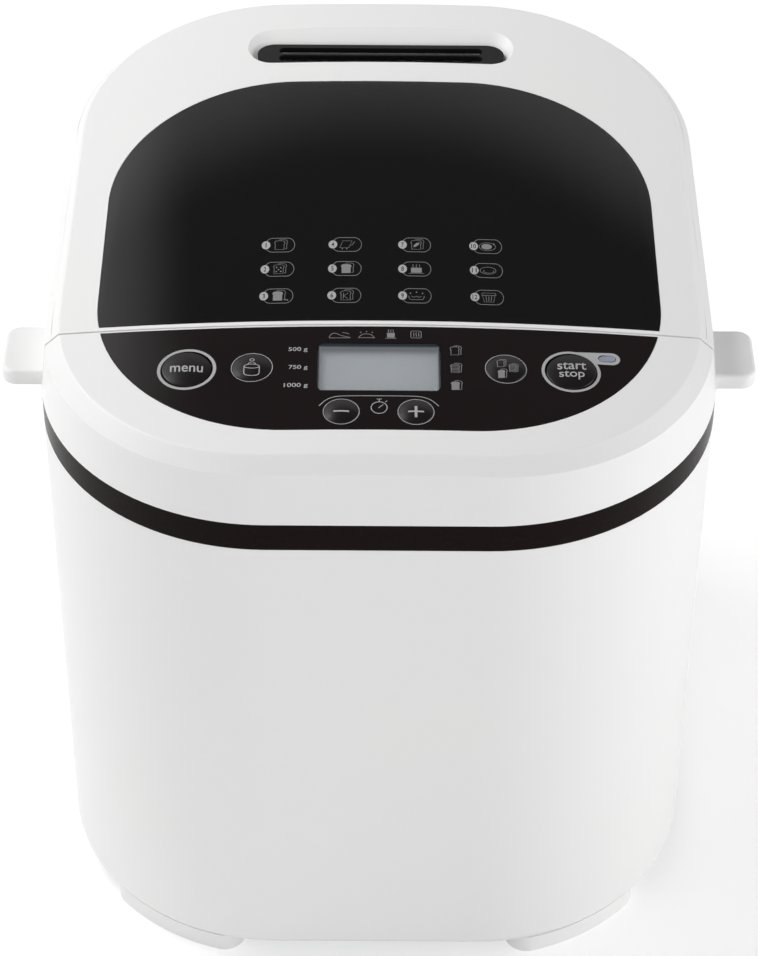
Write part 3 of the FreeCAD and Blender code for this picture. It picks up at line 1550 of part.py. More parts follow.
def make_motor_case():
    square = rounded_rectangle("stator_size", "stator_size", "stator_corner", "0", "motor_y")
    bells = []
    for name, lift, mouth in (("lower", chamber_floor, stator_low), ("upper", stator_top, stator_top)):
        body = new_body(f"motor_{name}_bell")
        pad(body, outline(body, square, lift=lift), "bell_height")
        cup = circles(body, motor_middle, "coil_radius + fit_gap", lift=mouth)
        pocket(body, cup, coil_length, upward=name == "upper")
        drill(body, motor_middle, "motor_shaft + pin_gap")
        bells.append(body)
    node(gathered("bell_set", bells), "motor_bells")
    body = node(new_body("motor_stator_body"), "motor_stator")
    pad(body, outline(body, square, lift=stator_low), "stator_height")
    drill(body, motor_middle, "rotor_radius + run_gap")


def make_motor_windings():
    coils = []
    for name, lift in (("lower", f"{stator_low} - {coil_length}"), ("upper", stator_top)):
        body = new_body(f"motor_{name}_coil")
        ring = circles(body, motor_middle, "coil_radius", lift=lift)
        add_circle(ring, "0", "motor_y", "rotor_radius + run_gap")
        pad(body, ring, coil_length)
        coils.append(body)
    node(gathered("coil_set", coils), "motor_coils")
    length = f"{stator_top} + bell_height + frame_thick - pulley_bottom"
    shaft = cylinder("motor_shaft_rod", "motor_shaft", length, "0", "motor_y", "pulley_bottom")
    rotor_low = f"{stator_low} + run_gap"
    rotor_length = "stator_height - 2 * run_gap"
    rotor = cylinder("motor_rotor", "rotor_radius", rotor_length, "0", "motor_y", rotor_low)
    node(joined("motor_rotor_shaft", [shaft, rotor]), "motor_shaft")


def make_power_parts():
    body = node(new_body("run_capacitor_body"), "run_capacitor")
    middle = "(motor_y + capacitor_setback)"
    plan = rounded_rectangle("capacitor_width", "capacitor_depth", "lcd_corner", "capacitor_x", middle)
    pad(body, outline(body, plan, lift="floor_top"), "capacitor_height")
    near = "(motor_y - power_setback)"
    board = box("power_slab", ("board_thick", "power_width", "power_height"), "board_x", near, "floor_top")
    relay_size = ("relay_height", "relay_size", "relay_size")
    relay_y = f"{near} + relay_size"
    relay = box("power_relay", relay_size, "board_x - relay_height", relay_y, "floor_top + relay_size")
    node(gathered("power_board_set", [board, relay]), "power_board")


make_body_shell()
make_trim_band()
make_base_plate()
make_feet()
make_base_screws()
make_cord_gland()
make_lid_shell()
make_lid_window()
make_vent_grille()
make_lid_liner()
make_inner_pane()
make_liner_screws()
make_hinge_pins()
make_control_housing()
make_control_panel()
make_buttons()
make_display()
make_control_board()
make_chamber_deck()
make_baking_chamber()
make_heating_element()
make_element_clips()
make_sensors()
make_pan_seat()
make_bread_pan()
make_pan_base()
make_pan_handle()
make_pan_drive()
make_kneading_paddle()
make_drive_frame()
make_bearings()
make_drive_shaft()
make_pulleys()
make_drive_belt()
make_motor_case()
make_motor_windings()
make_power_parts()
doc.recompute()

failed = [thing.Name for thing in doc.Objects if {"Invalid", "Error"} & set(thing.State)]
if failed:
    raise RuntimeError(f"these objects did not build: {failed}")
for label, thing in nodes.items():
    if thing.Shape.isNull() or not thing.Shape.isValid():
        raise RuntimeError(f"{label} has no valid shape")
os.makedirs("parts", exist_ok=True)
for label, thing in nodes.items():
    thing.Shape.exportStep(f"parts/{label}.step")
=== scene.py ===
import json
import math

import bmesh
import bpy
from mathutils import Matrix, Vector


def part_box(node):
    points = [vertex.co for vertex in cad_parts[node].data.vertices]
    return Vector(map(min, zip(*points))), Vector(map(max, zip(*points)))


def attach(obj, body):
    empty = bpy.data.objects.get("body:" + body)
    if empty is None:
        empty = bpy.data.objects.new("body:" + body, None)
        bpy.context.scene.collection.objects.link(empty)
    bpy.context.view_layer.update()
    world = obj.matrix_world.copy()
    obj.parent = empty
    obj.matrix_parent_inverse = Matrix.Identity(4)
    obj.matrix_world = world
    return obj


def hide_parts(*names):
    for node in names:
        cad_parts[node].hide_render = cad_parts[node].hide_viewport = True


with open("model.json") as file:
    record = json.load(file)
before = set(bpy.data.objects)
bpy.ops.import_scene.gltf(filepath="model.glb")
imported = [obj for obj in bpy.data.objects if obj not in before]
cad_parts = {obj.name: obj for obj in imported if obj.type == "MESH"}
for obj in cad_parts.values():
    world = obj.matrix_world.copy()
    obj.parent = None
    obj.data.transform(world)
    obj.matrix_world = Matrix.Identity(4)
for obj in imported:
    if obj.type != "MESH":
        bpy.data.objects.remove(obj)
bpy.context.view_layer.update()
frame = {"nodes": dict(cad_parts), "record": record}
nodes = frame["nodes"]
scene = bpy.context.scene
mm = 0.001
print("frame loaded with", len(nodes), "nodes")


def linear(hexText):
    parts = [int(hexText[i:i + 2], 16) / 255 for i in (1, 3, 5)]
    return tuple(v / 12.92 if v <= 0.04045 else ((v + 0.055) / 1.055) ** 2.4 for v in parts) + (1.0,)


def addNode(tree, kind, links=None, **settings):
    node = tree.nodes.new(kind)
    for key, value in settings.items():
        setattr(node, key, value)
    for socket, value in (links or {}).items():
        if isinstance(value, bpy.types.NodeSocket):
            tree.links.new(value, node.inputs[socket])
        else:
            node.inputs[socket].default_value = value
    return node


def mathNode(tree, operation, *values):
    return addNode(tree, "ShaderNodeMath", dict(enumerate(values)), operation=operation).outputs[0]


def fadeNode(tree, value, start, end, first=0.0, last=1.0):  # eases from first to last between start and end
    ends = {"Value": value, "From Min": start, "From Max": end, "To Min": first, "To Max": last}
    return addNode(tree, "ShaderNodeMapRange", ends, interpolation_type="SMOOTHSTEP").outputs[0]


def mixColours(tree, factor, first, second):  # by index, because the Mix node's sockets share their names
    return addNode(tree, "ShaderNodeMix", {0: factor, 6: first, 7: second}, data_type="RGBA").outputs[2]


def perMm(size):
    return 1 / (size * mm)  # texture scale for a feature of that many millimetres


finishes = {
    # injection-moulded ABS from a polished tool: clean white, soft wide highlights, a slow ripple of flow
    "white_plastic": {
        "name": "ABS moulded satin white", "tints": ("#efeff0", "#f2f1f0"), "patch": 90, "grain": 140,
        "depth": 0.004, "rough": (0.4, 0.44), "shader": {"IOR": 1.5, "Specular IOR Level": 0.4},
    },
    # brown-black moulding from a polished tool, dulled a little: dark, with faint soft-box streaks
    "band_plastic": {
        "name": "ABS polished dark brown", "tints": ("#130c0a", "#170f0d"), "patch": 30, "grain": 6,
        "depth": 0.0004, "rough": (0.24, 0.3), "shader": {"IOR": 1.54, "Specular IOR Level": 0.04},
    },
    # back-printed acrylic: deep black under a clear skin
    "panel_plastic": {
        "name": "Acrylic back-printed black", "tints": ("#171112", "#1b1415"), "patch": 24, "grain": 8,
        "depth": 0.0003, "rough": (0.07, 0.1), "shader": {"IOR": 1.49},
    },
    # tinted polycarbonate caps, satin: a soft light patch on the dome, where the panel mirrors
    "key_plastic": {
        "name": "Polycarbonate key cap tinted", "tints": ("#181314", "#1c1718"), "patch": 8, "grain": 3,
        "depth": 0.0005, "rough": (0.22, 0.27), "shader": {"IOR": 1.58, "Specular IOR Level": 0.25},
    },
    # tempered smoked glass: nearly black, one clean reflection
    "smoked_glass": {
        "name": "Glass tempered smoked", "tints": ("#2c292a", "#302d2e"), "patch": 90, "grain": 40,
        "depth": 0.002, "rough": (0.015, 0.03), "shader": {"IOR": 1.52, "Transmission Weight": 0.85},
    },
    # tempered clear pane: see-through, faintly green
    "clear_glass": {
        "name": "Glass tempered clear", "tints": ("#eef5f1", "#e8f1ec"), "patch": 60, "grain": 40,
        "depth": 0.002, "rough": (0.01, 0.03), "shader": {"IOR": 1.52, "Transmission Weight": 0.95},
    },
    # hard-coated display cover: clear film that lets the grey cell show; its edges get a painted shade further down
    "lcd_glass": {
        "name": "Acrylic display cover hard-coated", "tints": ("#b9bec2", "#c0c5c9"), "patch": 20, "grain": 6,
        "depth": 0.001, "rough": (0.12, 0.18), "shader": {"IOR": 1.49, "Alpha": 0.3},
    },
    # frosted light window: cool grey when the lamp is off
    "lamp_plastic": {
        "name": "Polycarbonate lamp window frosted", "tints": ("#8d92a6", "#9a9fb0"), "patch": 2, "grain": 0.5,
        "depth": 0.02, "rough": (0.28, 0.4),
        "shader": {"IOR": 1.58, "Subsurface Weight": 0.15, "Subsurface Scale": 0.002},
    },
    # glass-filled nylon: dull black with a fine speckle
    "black_plastic": {
        "name": "Nylon moulded matt black", "tints": ("#0f0c0d", "#161314"), "patch": 6, "grain": 0.5,
        "depth": 0.02, "rough": (0.42, 0.58), "shader": {"IOR": 1.53, "Specular IOR Level": 0.25},
    },
    # display cell and capacitor can: even pale grey
    "grey_plastic": {
        "name": "Polypropylene moulded grey", "tints": ("#c4c9cd", "#cacfd2"), "patch": 12, "grain": 3,
        "depth": 0.002, "rough": (0.34, 0.46), "shader": {"IOR": 1.49},
    },
    # solder-masked glass epoxy: green with a faint weave under the lacquer
    "board": {
        "name": "Glass epoxy board solder-masked", "tints": ("#1b5a34", "#2a7346"), "patch": 1.4, "grain": 0.9,
        "depth": 0.02, "rough": (0.25, 0.4), "pattern": "ShaderNodeTexBrick", "shader": {"IOR": 1.5},
    },
    # zinc plate: pale grey with a slight warm and cool cast
    "screw_steel": {
        "name": "Steel zinc-plated", "tints": ("#b9bbb6", "#c9c9cc"), "patch": 3, "grain": 0.6,
        "depth": 0.01, "rough": (0.24, 0.36), "shader": {"Metallic": 1.0},
    },
    # hot-dip galvanised sheet: crystal spangle a few millimetres across
    "sheet_steel": {
        "name": "Steel sheet galvanised", "tints": ("#b0b3b5", "#bbbec0"), "patch": 6, "grain": 4,
        "depth": 0.01, "rough": (0.26, 0.42), "pattern": "ShaderNodeTexVoronoi", "shader": {"Metallic": 1.0},
    },
    # aluminised sheet of the oven: silvery, slightly mottled by heat
    "oven_steel": {
        "name": "Steel sheet aluminised", "tints": ("#9c9b98", "#b5b3ae"), "patch": 18, "grain": 0.8,
        "depth": 0.012, "rough": (0.3, 0.46), "shader": {"Metallic": 1.0},
    },
    # drawn heater tube, oxidised in the first bakes: dull and dark
    "heater_steel": {
        "name": "Steel tube oxidised", "tints": ("#3d3a39", "#57504b"), "patch": 7, "grain": 0.6,
        "depth": 0.02, "rough": (0.42, 0.6), "shader": {"Metallic": 0.85},
    },
    # sprayed non-stick: charcoal with fine mica flecks
    "nonstick": {
        "name": "Aluminium coated non-stick", "tints": ("#2a2a2b", "#434345"), "patch": 0.7, "grain": 0.9,
        "depth": 0.02, "rough": (0.32, 0.48), "pattern": "ShaderNodeTexVoronoi",
        "shader": {"IOR": 1.38, "Coat Weight": 0.25, "Coat Roughness": 0.25},
    },
    # die-cast aluminium: pale, faint flow marks
    "cast_aluminium": {
        "name": "Aluminium die-cast", "tints": ("#aeb0b2", "#c2c3c4"), "patch": 10, "grain": 0.7,
        "depth": 0.03, "rough": (0.36, 0.52), "shader": {"Metallic": 1.0},
    },
    # ground and drawn stainless: bright, with a fine uneven polish
    "bright_steel": {
        "name": "Stainless steel drawn bright", "tints": ("#c4c5c6", "#d6d6d6"), "patch": 5, "grain": 0.4,
        "depth": 0.006, "rough": (0.12, 0.24), "shader": {"Metallic": 1.0},
    },
    # sintered bronze: warm, open-pored
    "bronze": {
        "name": "Bronze sintered", "tints": ("#8f6a35", "#a9824a"), "patch": 1.2, "grain": 0.4,
        "depth": 0.03, "rough": (0.34, 0.5), "shader": {"Metallic": 1.0},
    },
    # moulded rubber: dull, slightly bloomed
    "rubber": {
        "name": "Rubber moulded black", "tints": ("#171717", "#222122"), "patch": 5, "grain": 0.5,
        "depth": 0.03, "rough": (0.6, 0.78), "shader": {"IOR": 1.52},
    },
    # enamelled wire laid side by side: fine shining ridges
    "copper": {
        "name": "Copper winding enamelled", "tints": ("#7a3d1c", "#a65a2c"), "patch": 0.9, "grain": 0.9,
        "depth": 0.2, "rough": (0.18, 0.3), "pattern": "ShaderNodeTexWave", "shader": {"Metallic": 0.9},
    },
    # screen-printed ink: flat pale grey, a little uneven at the mesh scale
    "ink": {
        "name": "Screen ink pale grey", "tints": ("#a8a9a9", "#b1b2b2"), "patch": 0.8, "grain": 0.25,
        "depth": 0.004, "rough": (0.4, 0.5), "shader": {"IOR": 1.5},
    },
    # the same ink printed thinner: darker, so that the small icons stay behind the words
    "dimInk": {
        "name": "Screen ink mid grey", "tints": ("#7f7f7f", "#888888"), "patch": 0.8, "grain": 0.25,
        "depth": 0.004, "rough": (0.4, 0.5), "shader": {"IOR": 1.5},
    },
}
grainDetail = 3.0
reliefStrength = 0.6


def makeFinish(look):
    material = bpy.data.materials.new(look["name"])
    material.use_nodes = True
    tree = material.node_tree
    shader = tree.nodes["Principled BSDF"]
    for socket, value in look["shader"].items():
        shader.inputs[socket].default_value = value
    place = addNode(tree, "ShaderNodeTexCoord").outputs["Object"]
    kind = look.get("pattern", "ShaderNodeTexNoise")
    patch = addNode(tree, kind, {"Vector": place, "Scale": perMm(look["patch"])})
    fine = {"Vector": place, "Scale": perMm(look["grain"]), "Detail": grainDetail}
    grain = addNode(tree, "ShaderNodeTexNoise", fine).outputs["Fac"]
    if kind == "ShaderNodeTexVoronoi":
        tone = addNode(tree, "ShaderNodeSeparateColor", {"Color": patch.outputs["Color"]}).outputs["Red"]
    else:
        tone = patch.outputs["Fac"]
    first, second = (linear(tint) for tint in look["tints"])
    colour = mixColours(tree, tone, first, second)
    low, high = look["rough"]
    dull = addNode(tree, "ShaderNodeMapRange", {"Value": grain, "To Min": low, "To Max": high})
    raised = {
        "Height": tone if kind == "ShaderNodeTexWave" else grain,
        "Strength": reliefStrength, "Distance": look["depth"] * mm,
    }
    relief = addNode(tree, "ShaderNodeBump", raised)
    tree.links.new(colour, shader.inputs["Base Color"])
    tree.links.new(dull.outputs["Result"], shader.inputs["Roughness"])
    tree.links.new(relief.outputs["Normal"], shader.inputs["Normal"])
    return material


made = {slot: makeFinish(look) for slot, look in finishes.items()}
for piece in frame["record"]["subparts"]:
    nodes[piece["node"]].material_slots[0].material = made[piece["material_slot"]]
print("finishes made:", len(made))

lcdPaintedShade = {  # painted shade on the display cover: how deep from each edge, in mm, it is full and where it has cleared
    "tone": "#2a343a", "alpha": 0.86, "side": (0, 1.2), "front": (0, 0.5), "back": (1.2, 4.0),
}


def paintDisplayEdgeShade(material, name, shade):  # painted shade: the cover darkens and grows less clear towards each edge, the back one most, standing in for the frame's shadow on the cell
    tree = material.node_tree
    shader = tree.nodes["Principled BSDF"]
    low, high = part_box(name)
    axes = addNode(tree, "ShaderNodeSeparateXYZ", {0: addNode(tree, "ShaderNodeTexCoord").outputs["Object"]})
    sides = (
        ("X", low.x, 1, shade["side"]), ("X", high.x, -1, shade["side"]),
        ("Y", low.y, 1, shade["front"]), ("Y", high.y, -1, shade["back"]),
    )
    edge = 0.0
    for axis, start, inward, depths in sides:
        full, clear = (start + inward * depth * mm for depth in depths)
        edge = mathNode(tree, "MAXIMUM", edge, fadeNode(tree, axes.outputs[axis], clear, full))
    # painted shade: the base colour mixes to the shade tone near the edges, and the alpha rises there
    plain = shader.inputs["Base Color"].links[0].from_socket
    tint = mixColours(tree, edge, plain, linear(shade["tone"]))
    thin = shader.inputs["Alpha"].default_value
    veil = addNode(tree, "ShaderNodeMapRange", {"Value": edge, "To Min": thin, "To Max": shade["alpha"]})
    tree.links.new(tint, shader.inputs["Base Color"])
    tree.links.new(veil.outputs["Result"], shader.inputs["Alpha"])


paintDisplayEdgeShade(made["lcd_glass"], "lcd_lens", lcdPaintedShade)


# print: drawn flat in mm, across and from the front wall, then laid on the surface that carries it
topForm = {"front": -151.0, "height": 279.0, "tilt": math.radians(4), "crown": 2700.0, "lift": 0.06}
topSlope = math.tan(topForm["tilt"])
inkForm = {
    "flatness": 0.08,  # a line's height against its width
    "bold": 0.009,  # how much the strokes of a letter are widened
    "bevelSteps": 1, "curveOrder": 3, "curveSteps": 8, "letterSteps": 4, "ringSides": 64, "discSides": 32,
    "barSteps": 8, "longEdge": 0.8, "cuts": 2, "weld": 1e-5, "level": 1e-9, "onAxis": 1e-6,
}


def onTop(x, y):  # the crowned top that the panel and the lid glass share
    return topForm["height"] + y * topSlope - x * x / topForm["crown"]


def curveMesh(curve):
    holder = bpy.data.objects.new("inkHolder", curve)
    scene.collection.objects.link(holder)
    mesh = bpy.data.meshes.new_from_object(holder.evaluated_get(bpy.context.evaluated_depsgraph_get()))
    bpy.data.objects.remove(holder)
    bpy.data.curves.remove(curve)
    return mesh


def takeIn(bm, mesh, matrix):
    count = len(bm.verts)
    bm.from_mesh(mesh)
    bm.verts.ensure_lookup_table()
    bmesh.ops.transform(bm, matrix=matrix, verts=bm.verts[count:])
    bpy.data.meshes.remove(mesh)


def moved(x, y, wide=1.0, deep=1.0):
    return Matrix.Translation((x, y, 0)) @ Matrix.Diagonal((wide, deep, 1, 1))


def drawLines(bm, lines, width, matrix):
    curve = bpy.data.curves.new("inkLine", "CURVE")
    curve.dimensions = "3D"
    curve.bevel_depth = width / 2
    curve.bevel_resolution = inkForm["bevelSteps"]
    for smooth, closed, points in lines:
        spline = curve.splines.new("NURBS" if smooth else "POLY")
        spline.points.add(len(points) - 1)
        for spot, (x, y) in zip(spline.points, points):
            across = matrix @ Matrix.Translation((x, y, 0))
            spot.co = (across[0][3], across[1][3], 0, 1)
        spline.use_cyclic_u = closed
        if smooth:
            spline.order_u = inkForm["curveOrder"]
            spline.use_endpoint_u = not closed
            spline.resolution_u = inkForm["curveSteps"]
    takeIn(bm, curveMesh(curve), Matrix.Diagonal((1, 1, inkForm["flatness"], 1)))


def fillShapes(bm, shapes, matrix):
    curve = bpy.data.curves.new("inkPatch", "CURVE")
    curve.dimensions = "2D"
    curve.fill_mode = "BOTH"
    for points in shapes:
        spline = curve.splines.new("POLY")
        spline.points.add(len(points) - 1)
        for spot, (x, y) in zip(spline.points, points):
            spot.co = (x, y, 0, 1)
        spline.use_cyclic_u = True
    takeIn(bm, curveMesh(curve), matrix)


def setWords(bm, words, left, right, low, high):
    curve = bpy.data.curves.new("inkWords", "FONT")
    curve.body = words
    curve.offset = inkForm["bold"]
    curve.resolution_u = inkForm["letterSteps"]
    mesh = curveMesh(curve)
    xs = [v.co.x for v in mesh.vertices]
    ys = [v.co.y for v in mesh.vertices]
    wide = (right - left) / (max(xs) - min(xs))
    deep = (high - low) / (max(ys) - min(ys))
    takeIn(bm, mesh, moved(left - wide * min(xs), low - deep * min(ys), wide, deep))


def ring(bm, x, y, outer, width, half=0.0, deep=1.0):  # half: how far each side is drawn out, for a pill
    edges = []
    for radius in (outer, outer - width):
        loop = bmesh.ops.create_circle(bm, segments=inkForm["ringSides"], radius=radius, cap_ends=False)["verts"]
        for v in loop:
            v.co.x += math.copysign(half, v.co.x) if abs(v.co.x) > inkForm["onAxis"] else 0
        bmesh.ops.transform(bm, matrix=moved(x, y, 1, deep), verts=loop)
        edges += list({e for v in loop for e in v.link_edges})
    bmesh.ops.bridge_loops(bm, edges=edges)


def disc(bm, x, y, radius, deep=1.0):
    place = moved(x, y, 1, deep)
    bmesh.ops.create_circle(bm, segments=inkForm["discSides"], radius=radius, cap_ends=True, matrix=place)


def finishPrint(bm, name, body, ink, surface, lift=topForm["lift"]):
    bmesh.ops.remove_doubles(bm, verts=bm.verts, dist=inkForm["weld"])
    bmesh.ops.triangulate(bm, faces=bm.faces)
    flat = [face for face in bm.faces if all(abs(v.co.z) < inkForm["level"] for v in face.verts)]
    for v in bm.verts:
        x, y = v.co.x, v.co.y
        height = surface(x, y) + lift + v.co.z
        v.co = (x * mm, (y + topForm["front"]) * mm, height * mm)
    for face in flat:
        face.normal_update()
        if face.normal.z < 0:
            face.normal_flip()
    mesh = bpy.data.meshes.new(name)
    bm.to_mesh(mesh)
    bm.free()
    piece = bpy.data.objects.new(name, mesh)
    scene.collection.objects.link(piece)
    mesh.materials.append(made[ink])
    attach(piece, body)


def arc(x, y, wide, deep, start, end, steps=14):
    turn = [math.radians(start + (end - start) * i / steps) for i in range(steps + 1)]
    return [(x + wide * math.cos(a), y + deep * math.sin(a)) for a in turn]


def oval(x, y, wide, deep):
    return arc(x, y, wide, deep, 0, 345)


sliceFront = [
    (-0.42, -0.5), (0.42, -0.5), (0.42, 0.12), (0.5, 0.28), (0.38, 0.46),
    (0, 0.52), (-0.38, 0.46), (-0.5, 0.28), (-0.42, 0.12),
]
behind = [(-0.1, 0.6), (0.3, 0.64), (0.64, 0.56), (0.74, 0.36), (0.66, 0.2), (0.66, -0.42), (0.5, -0.44)]
sliceLines = [(0, 1, sliceFront), (0, 0, behind)]
icons = {  # lines are (smooth, closed, points); spots are filled discs; patches are filled outlines
    "plainSlice": {"lines": sliceLines},
    "filledSlice": {"lines": [(0, 0, behind)], "patches": [sliceFront]},
    "soakedSlice": {"lines": [(0, 0, behind)], "patches": [sliceFront], "spots": [(0.7, -0.4), (0.9, -0.46)]},
    "seedSlice": {
        "lines": sliceLines,
        "spots": [(-0.2, 0.2), (0.18, 0.16), (-0.02, -0.06), (-0.22, -0.28), (0.2, -0.26)],
    },
    "quickSlice": {
        "lines": sliceLines + [
            (0, 0, [(0.24, 0.26), (-0.2, -0.04), (0.2, -0.34)]), (0, 0, [(-0.2, 0.26), (-0.2, -0.34)]),
        ],
    },
    "grainSlice": {
        "lines": sliceLines,
        "patches": [[(-0.26, -0.26), (-0.02, -0.2), (0.24, 0.04), (0.3, 0.28), (0.04, 0.22), (-0.2, 0)]],
    },
    "mediumSlice": {
        "lines": sliceLines + [(0, 0, [(-0.4, y), (0.4, y)]) for y in (-0.34, -0.17, 0, 0.17, 0.34)],
    },
    "rolledLoaf": {
        "lines": [
            (0, 1, [(-0.8, -0.36), (0.28, -0.36), (0.66, 0.42), (-0.42, 0.42)]),
            (0, 0, [(0.62, -0.1), (0.98, 0.34)]),
        ],
        "spots": [(-0.5, -0.46), (0.02, -0.46)],
    },
    "cake": {
        "lines": [(0, 0, [(-0.72, -0.5), (0.72, -0.5)])] + [(0, 0, [(x, 0.2), (x, 0.52)]) for x in (-0.3, 0, 0.3)],
        "patches": [[(-0.5, -0.42), (0.5, -0.42), (0.5, 0.14), (-0.5, 0.14)]],
    },
    "dough": {
        "lines": [
            (1, 0, [(-0.9, 0), (-0.86, -0.38), (-0.5, -0.42), (0.5, -0.42), (0.86, -0.38), (0.9, 0)]),
            (1, 0, [(-0.6, -0.02), (-0.3, -0.22), (0, 0), (0.3, -0.22), (0.6, -0.02)]),
        ],
        "spots": [(-0.7, 0.28), (0, 0.4), (0.7, 0.28)],
    },
    "bun": {
        "lines": [(1, 1, oval(0, -0.02, 0.78, 0.46))], "patches": [oval(-0.06, -0.02, 0.5, 0.32)],
        "spots": [(0.62, 0.3)],
    },
    "plate": {"lines": [(1, 1, oval(0, 0, 0.95, 0.4)), (1, 0, arc(0.08, -0.08, 0.62, 0.2, 150, 390))]},
    "pot": {
        "lines": [
            (0, 1, [(-0.42, -0.5), (0.42, -0.5), (0.58, 0.2), (-0.58, 0.2)]),
            (0, 1, [(-0.66, 0.24), (0.66, 0.24), (0.6, 0.48), (-0.6, 0.48)]),
        ] + [(0, 0, [(x, -0.4), (x * 1.3, 0.12)]) for x in (-0.2, 0, 0.2)],
    },
    "kneading": {
        "lines": [
            (1, 0, [(-0.9, -0.36), (-0.8, 0.1), (-0.4, 0.3), (0, 0), (0.3, -0.16), (0.9, -0.36)]),
            (0, 0, [(-0.9, -0.4), (0.9, -0.4)]), (1, 0, [(0.2, 0.3), (0.5, 0.36), (0.8, 0.1)]),
        ],
    },
    "rising": {
        "lines": [
            (1, 0, [(-0.8, -0.34), (-0.5, 0.1), (0, 0.16), (0.5, 0.1), (0.8, -0.34)]),
            (0, 0, [(-0.86, -0.38), (0.86, -0.38)]),
        ],
        "spots": [(-0.6, 0.36), (0, 0.46), (0.6, 0.36)],
    },
    "keepWarm": {
        "lines": [
            (0, 1, [
                (-0.5, -0.4), (-0.4, -0.5), (0.4, -0.5), (0.5, -0.4),
                (0.5, 0.4), (0.4, 0.5), (-0.4, 0.5), (-0.5, 0.4),
            ]),
        ] + [(1, 0, [(x, -0.3), (x + 0.1, -0.12), (x - 0.06, 0.06), (x + 0.06, 0.3)]) for x in (-0.24, 0, 0.24)],
    },
    "scaleWeight": {
        "lines": [
            (1, 1, oval(0, 0.02, 0.55, 0.15)),
            (1, 0, [
                (-0.55, 0.02), (-0.55, -0.3), (-0.54, -0.52), (-0.3, -0.62),
                (0.3, -0.62), (0.54, -0.52), (0.55, -0.3), (0.55, 0.02),
            ]),
            (1, 1, oval(0, 0.5, 0.15, 0.11)),
            (1, 0, [(-0.28, 0.14), (-0.24, 0.3), (-0.06, 0.28)]), (1, 0, [(0.28, 0.14), (0.24, 0.3), (0.06, 0.28)]),
        ],
    },
}


def drawIcon(bm, name, x, y, wide, deep, line, spot=0.07):
    icon = icons[name]
    spread = moved(x, y, wide, deep)
    drawLines(bm, icon["lines"], line, spread)
    if icon.get("patches"):
        fillShapes(bm, icon["patches"], spread)
    for u, v in icon.get("spots", []):
        disc(bm, x + u * wide, y + v * deep, spot * wide, deep / wide)


panelMarks = {
    "rings": [  # centre across, centre from the front wall, outer radius, width
        (-74.2, 56.4, 11.45, 1.25), (74.2, 56.4, 11.45, 1.2), (-49, 56.4, 8.1, 0.3), (49, 56.4, 8.1, 0.3),
        (-14.2, 31.3, 7.0, 0.3), (14.2, 31.3, 7.0, 0.3),
    ],
    "weights": [("500 g", -35.1, -27.7, 64.7), ("750 g", -34.8, -27.5, 54.5), ("1000 g", -36.4, -27.2, 44.4)],
    "capHeight": 2.9,
    "icons": [
        ("kneading", -15.3, 74.4, 4.6, 4.2), ("rising", -4.9, 74.4, 3.8, 4.2), ("cake", 4.6, 75.0, 3.0, 5.0),
        ("keepWarm", 14.4, 74.9, 4.0, 4.0), ("plainSlice", 29.4, 65.9, 3.6, 4.6),
        ("mediumSlice", 29.4, 56.0, 3.6, 4.6), ("filledSlice", 29.4, 46.2, 3.6, 4.6),
    ],
    "iconLine": 0.28,
    "arch": [
        (-22.6, 34.5), (-20.8, 37.2), (-18.0, 39.2), (-14.5, 39.9), (-7, 40.0), (0, 40.0),
        (7, 40.0), (14.5, 40.0), (18.2, 39.2), (21.0, 37.2), (22.9, 34.7),
    ],
    "watch": (0.2, 33.5),
    "watchRadius": 3.2,
    "watchDeep": 1.05,
    "watchLines": [
        (0, 0, [(0, 3.4), (0, 4.6)]), (0, 0, [(-1, 4.7), (1, 4.7)]),
        (0, 0, [(2.3, 3), (3, 3.8)]), (0, 0, [(-0.2, -0.2), (1.5, 1.7)]),
    ],
    "line": 0.34,
}
ink = bmesh.new()
for x, y, outer, width in panelMarks["rings"]:
    ring(ink, x, y, outer, width)
for words, left, right, low in panelMarks["weights"]:
    setWords(ink, words, left, right, low, low + panelMarks["capHeight"])
dim = bmesh.new()
for name, x, y, wide, deep in panelMarks["icons"]:
    drawIcon(dim, name, x, y, wide, deep, panelMarks["iconLine"])
finishPrint(dim, "panelIcons", "machine", "dimInk", onTop)
drawLines(ink, [(1, 0, panelMarks["arch"])], panelMarks["line"], Matrix())
ring(ink, *panelMarks["watch"], panelMarks["watchRadius"], panelMarks["line"], 0, panelMarks["watchDeep"])
drawLines(ink, panelMarks["watchLines"], panelMarks["line"], moved(*panelMarks["watch"]))
finishPrint(ink, "panelPrint", "machine", "ink", onTop)

tail = {  # the start ring's flag, from and to in degrees, with the indicator lamp's window left open
    "centre": (74.2, 56.4), "radius": 11.2, "from": 88, "to": 27, "low": 61.4, "high": 68.2, "end": 93.6,
    "corner": 86.6, "lamp": (88.5, 64.8), "lampHalf": 1.6, "lampRadius": 1.85, "lift": 0.05,
}
capR = (tail["high"] - tail["low"]) / 2
capY = (tail["high"] + tail["low"]) / 2
outlinePoints = (
    arc(*tail["centre"], tail["radius"], tail["radius"], tail["from"], tail["to"])
    + [(tail["corner"], tail["low"])]
    + arc(tail["end"] - capR, capY, capR, capR, -90, 90)
)
lampX, lampY = tail["lamp"]
lampR = tail["lampRadius"]
lampHole = arc(lampX - tail["lampHalf"], lampY, lampR, lampR, 90, 270)
lampHole += arc(lampX + tail["lampHalf"], lampY, lampR, lampR, -90, 90)
ink = bmesh.new()
fillShapes(ink, [outlinePoints, lampHole], Matrix())
finishPrint(ink, "startTail", "machine", "ink", onTop, tail["lift"])
print("panel print made")

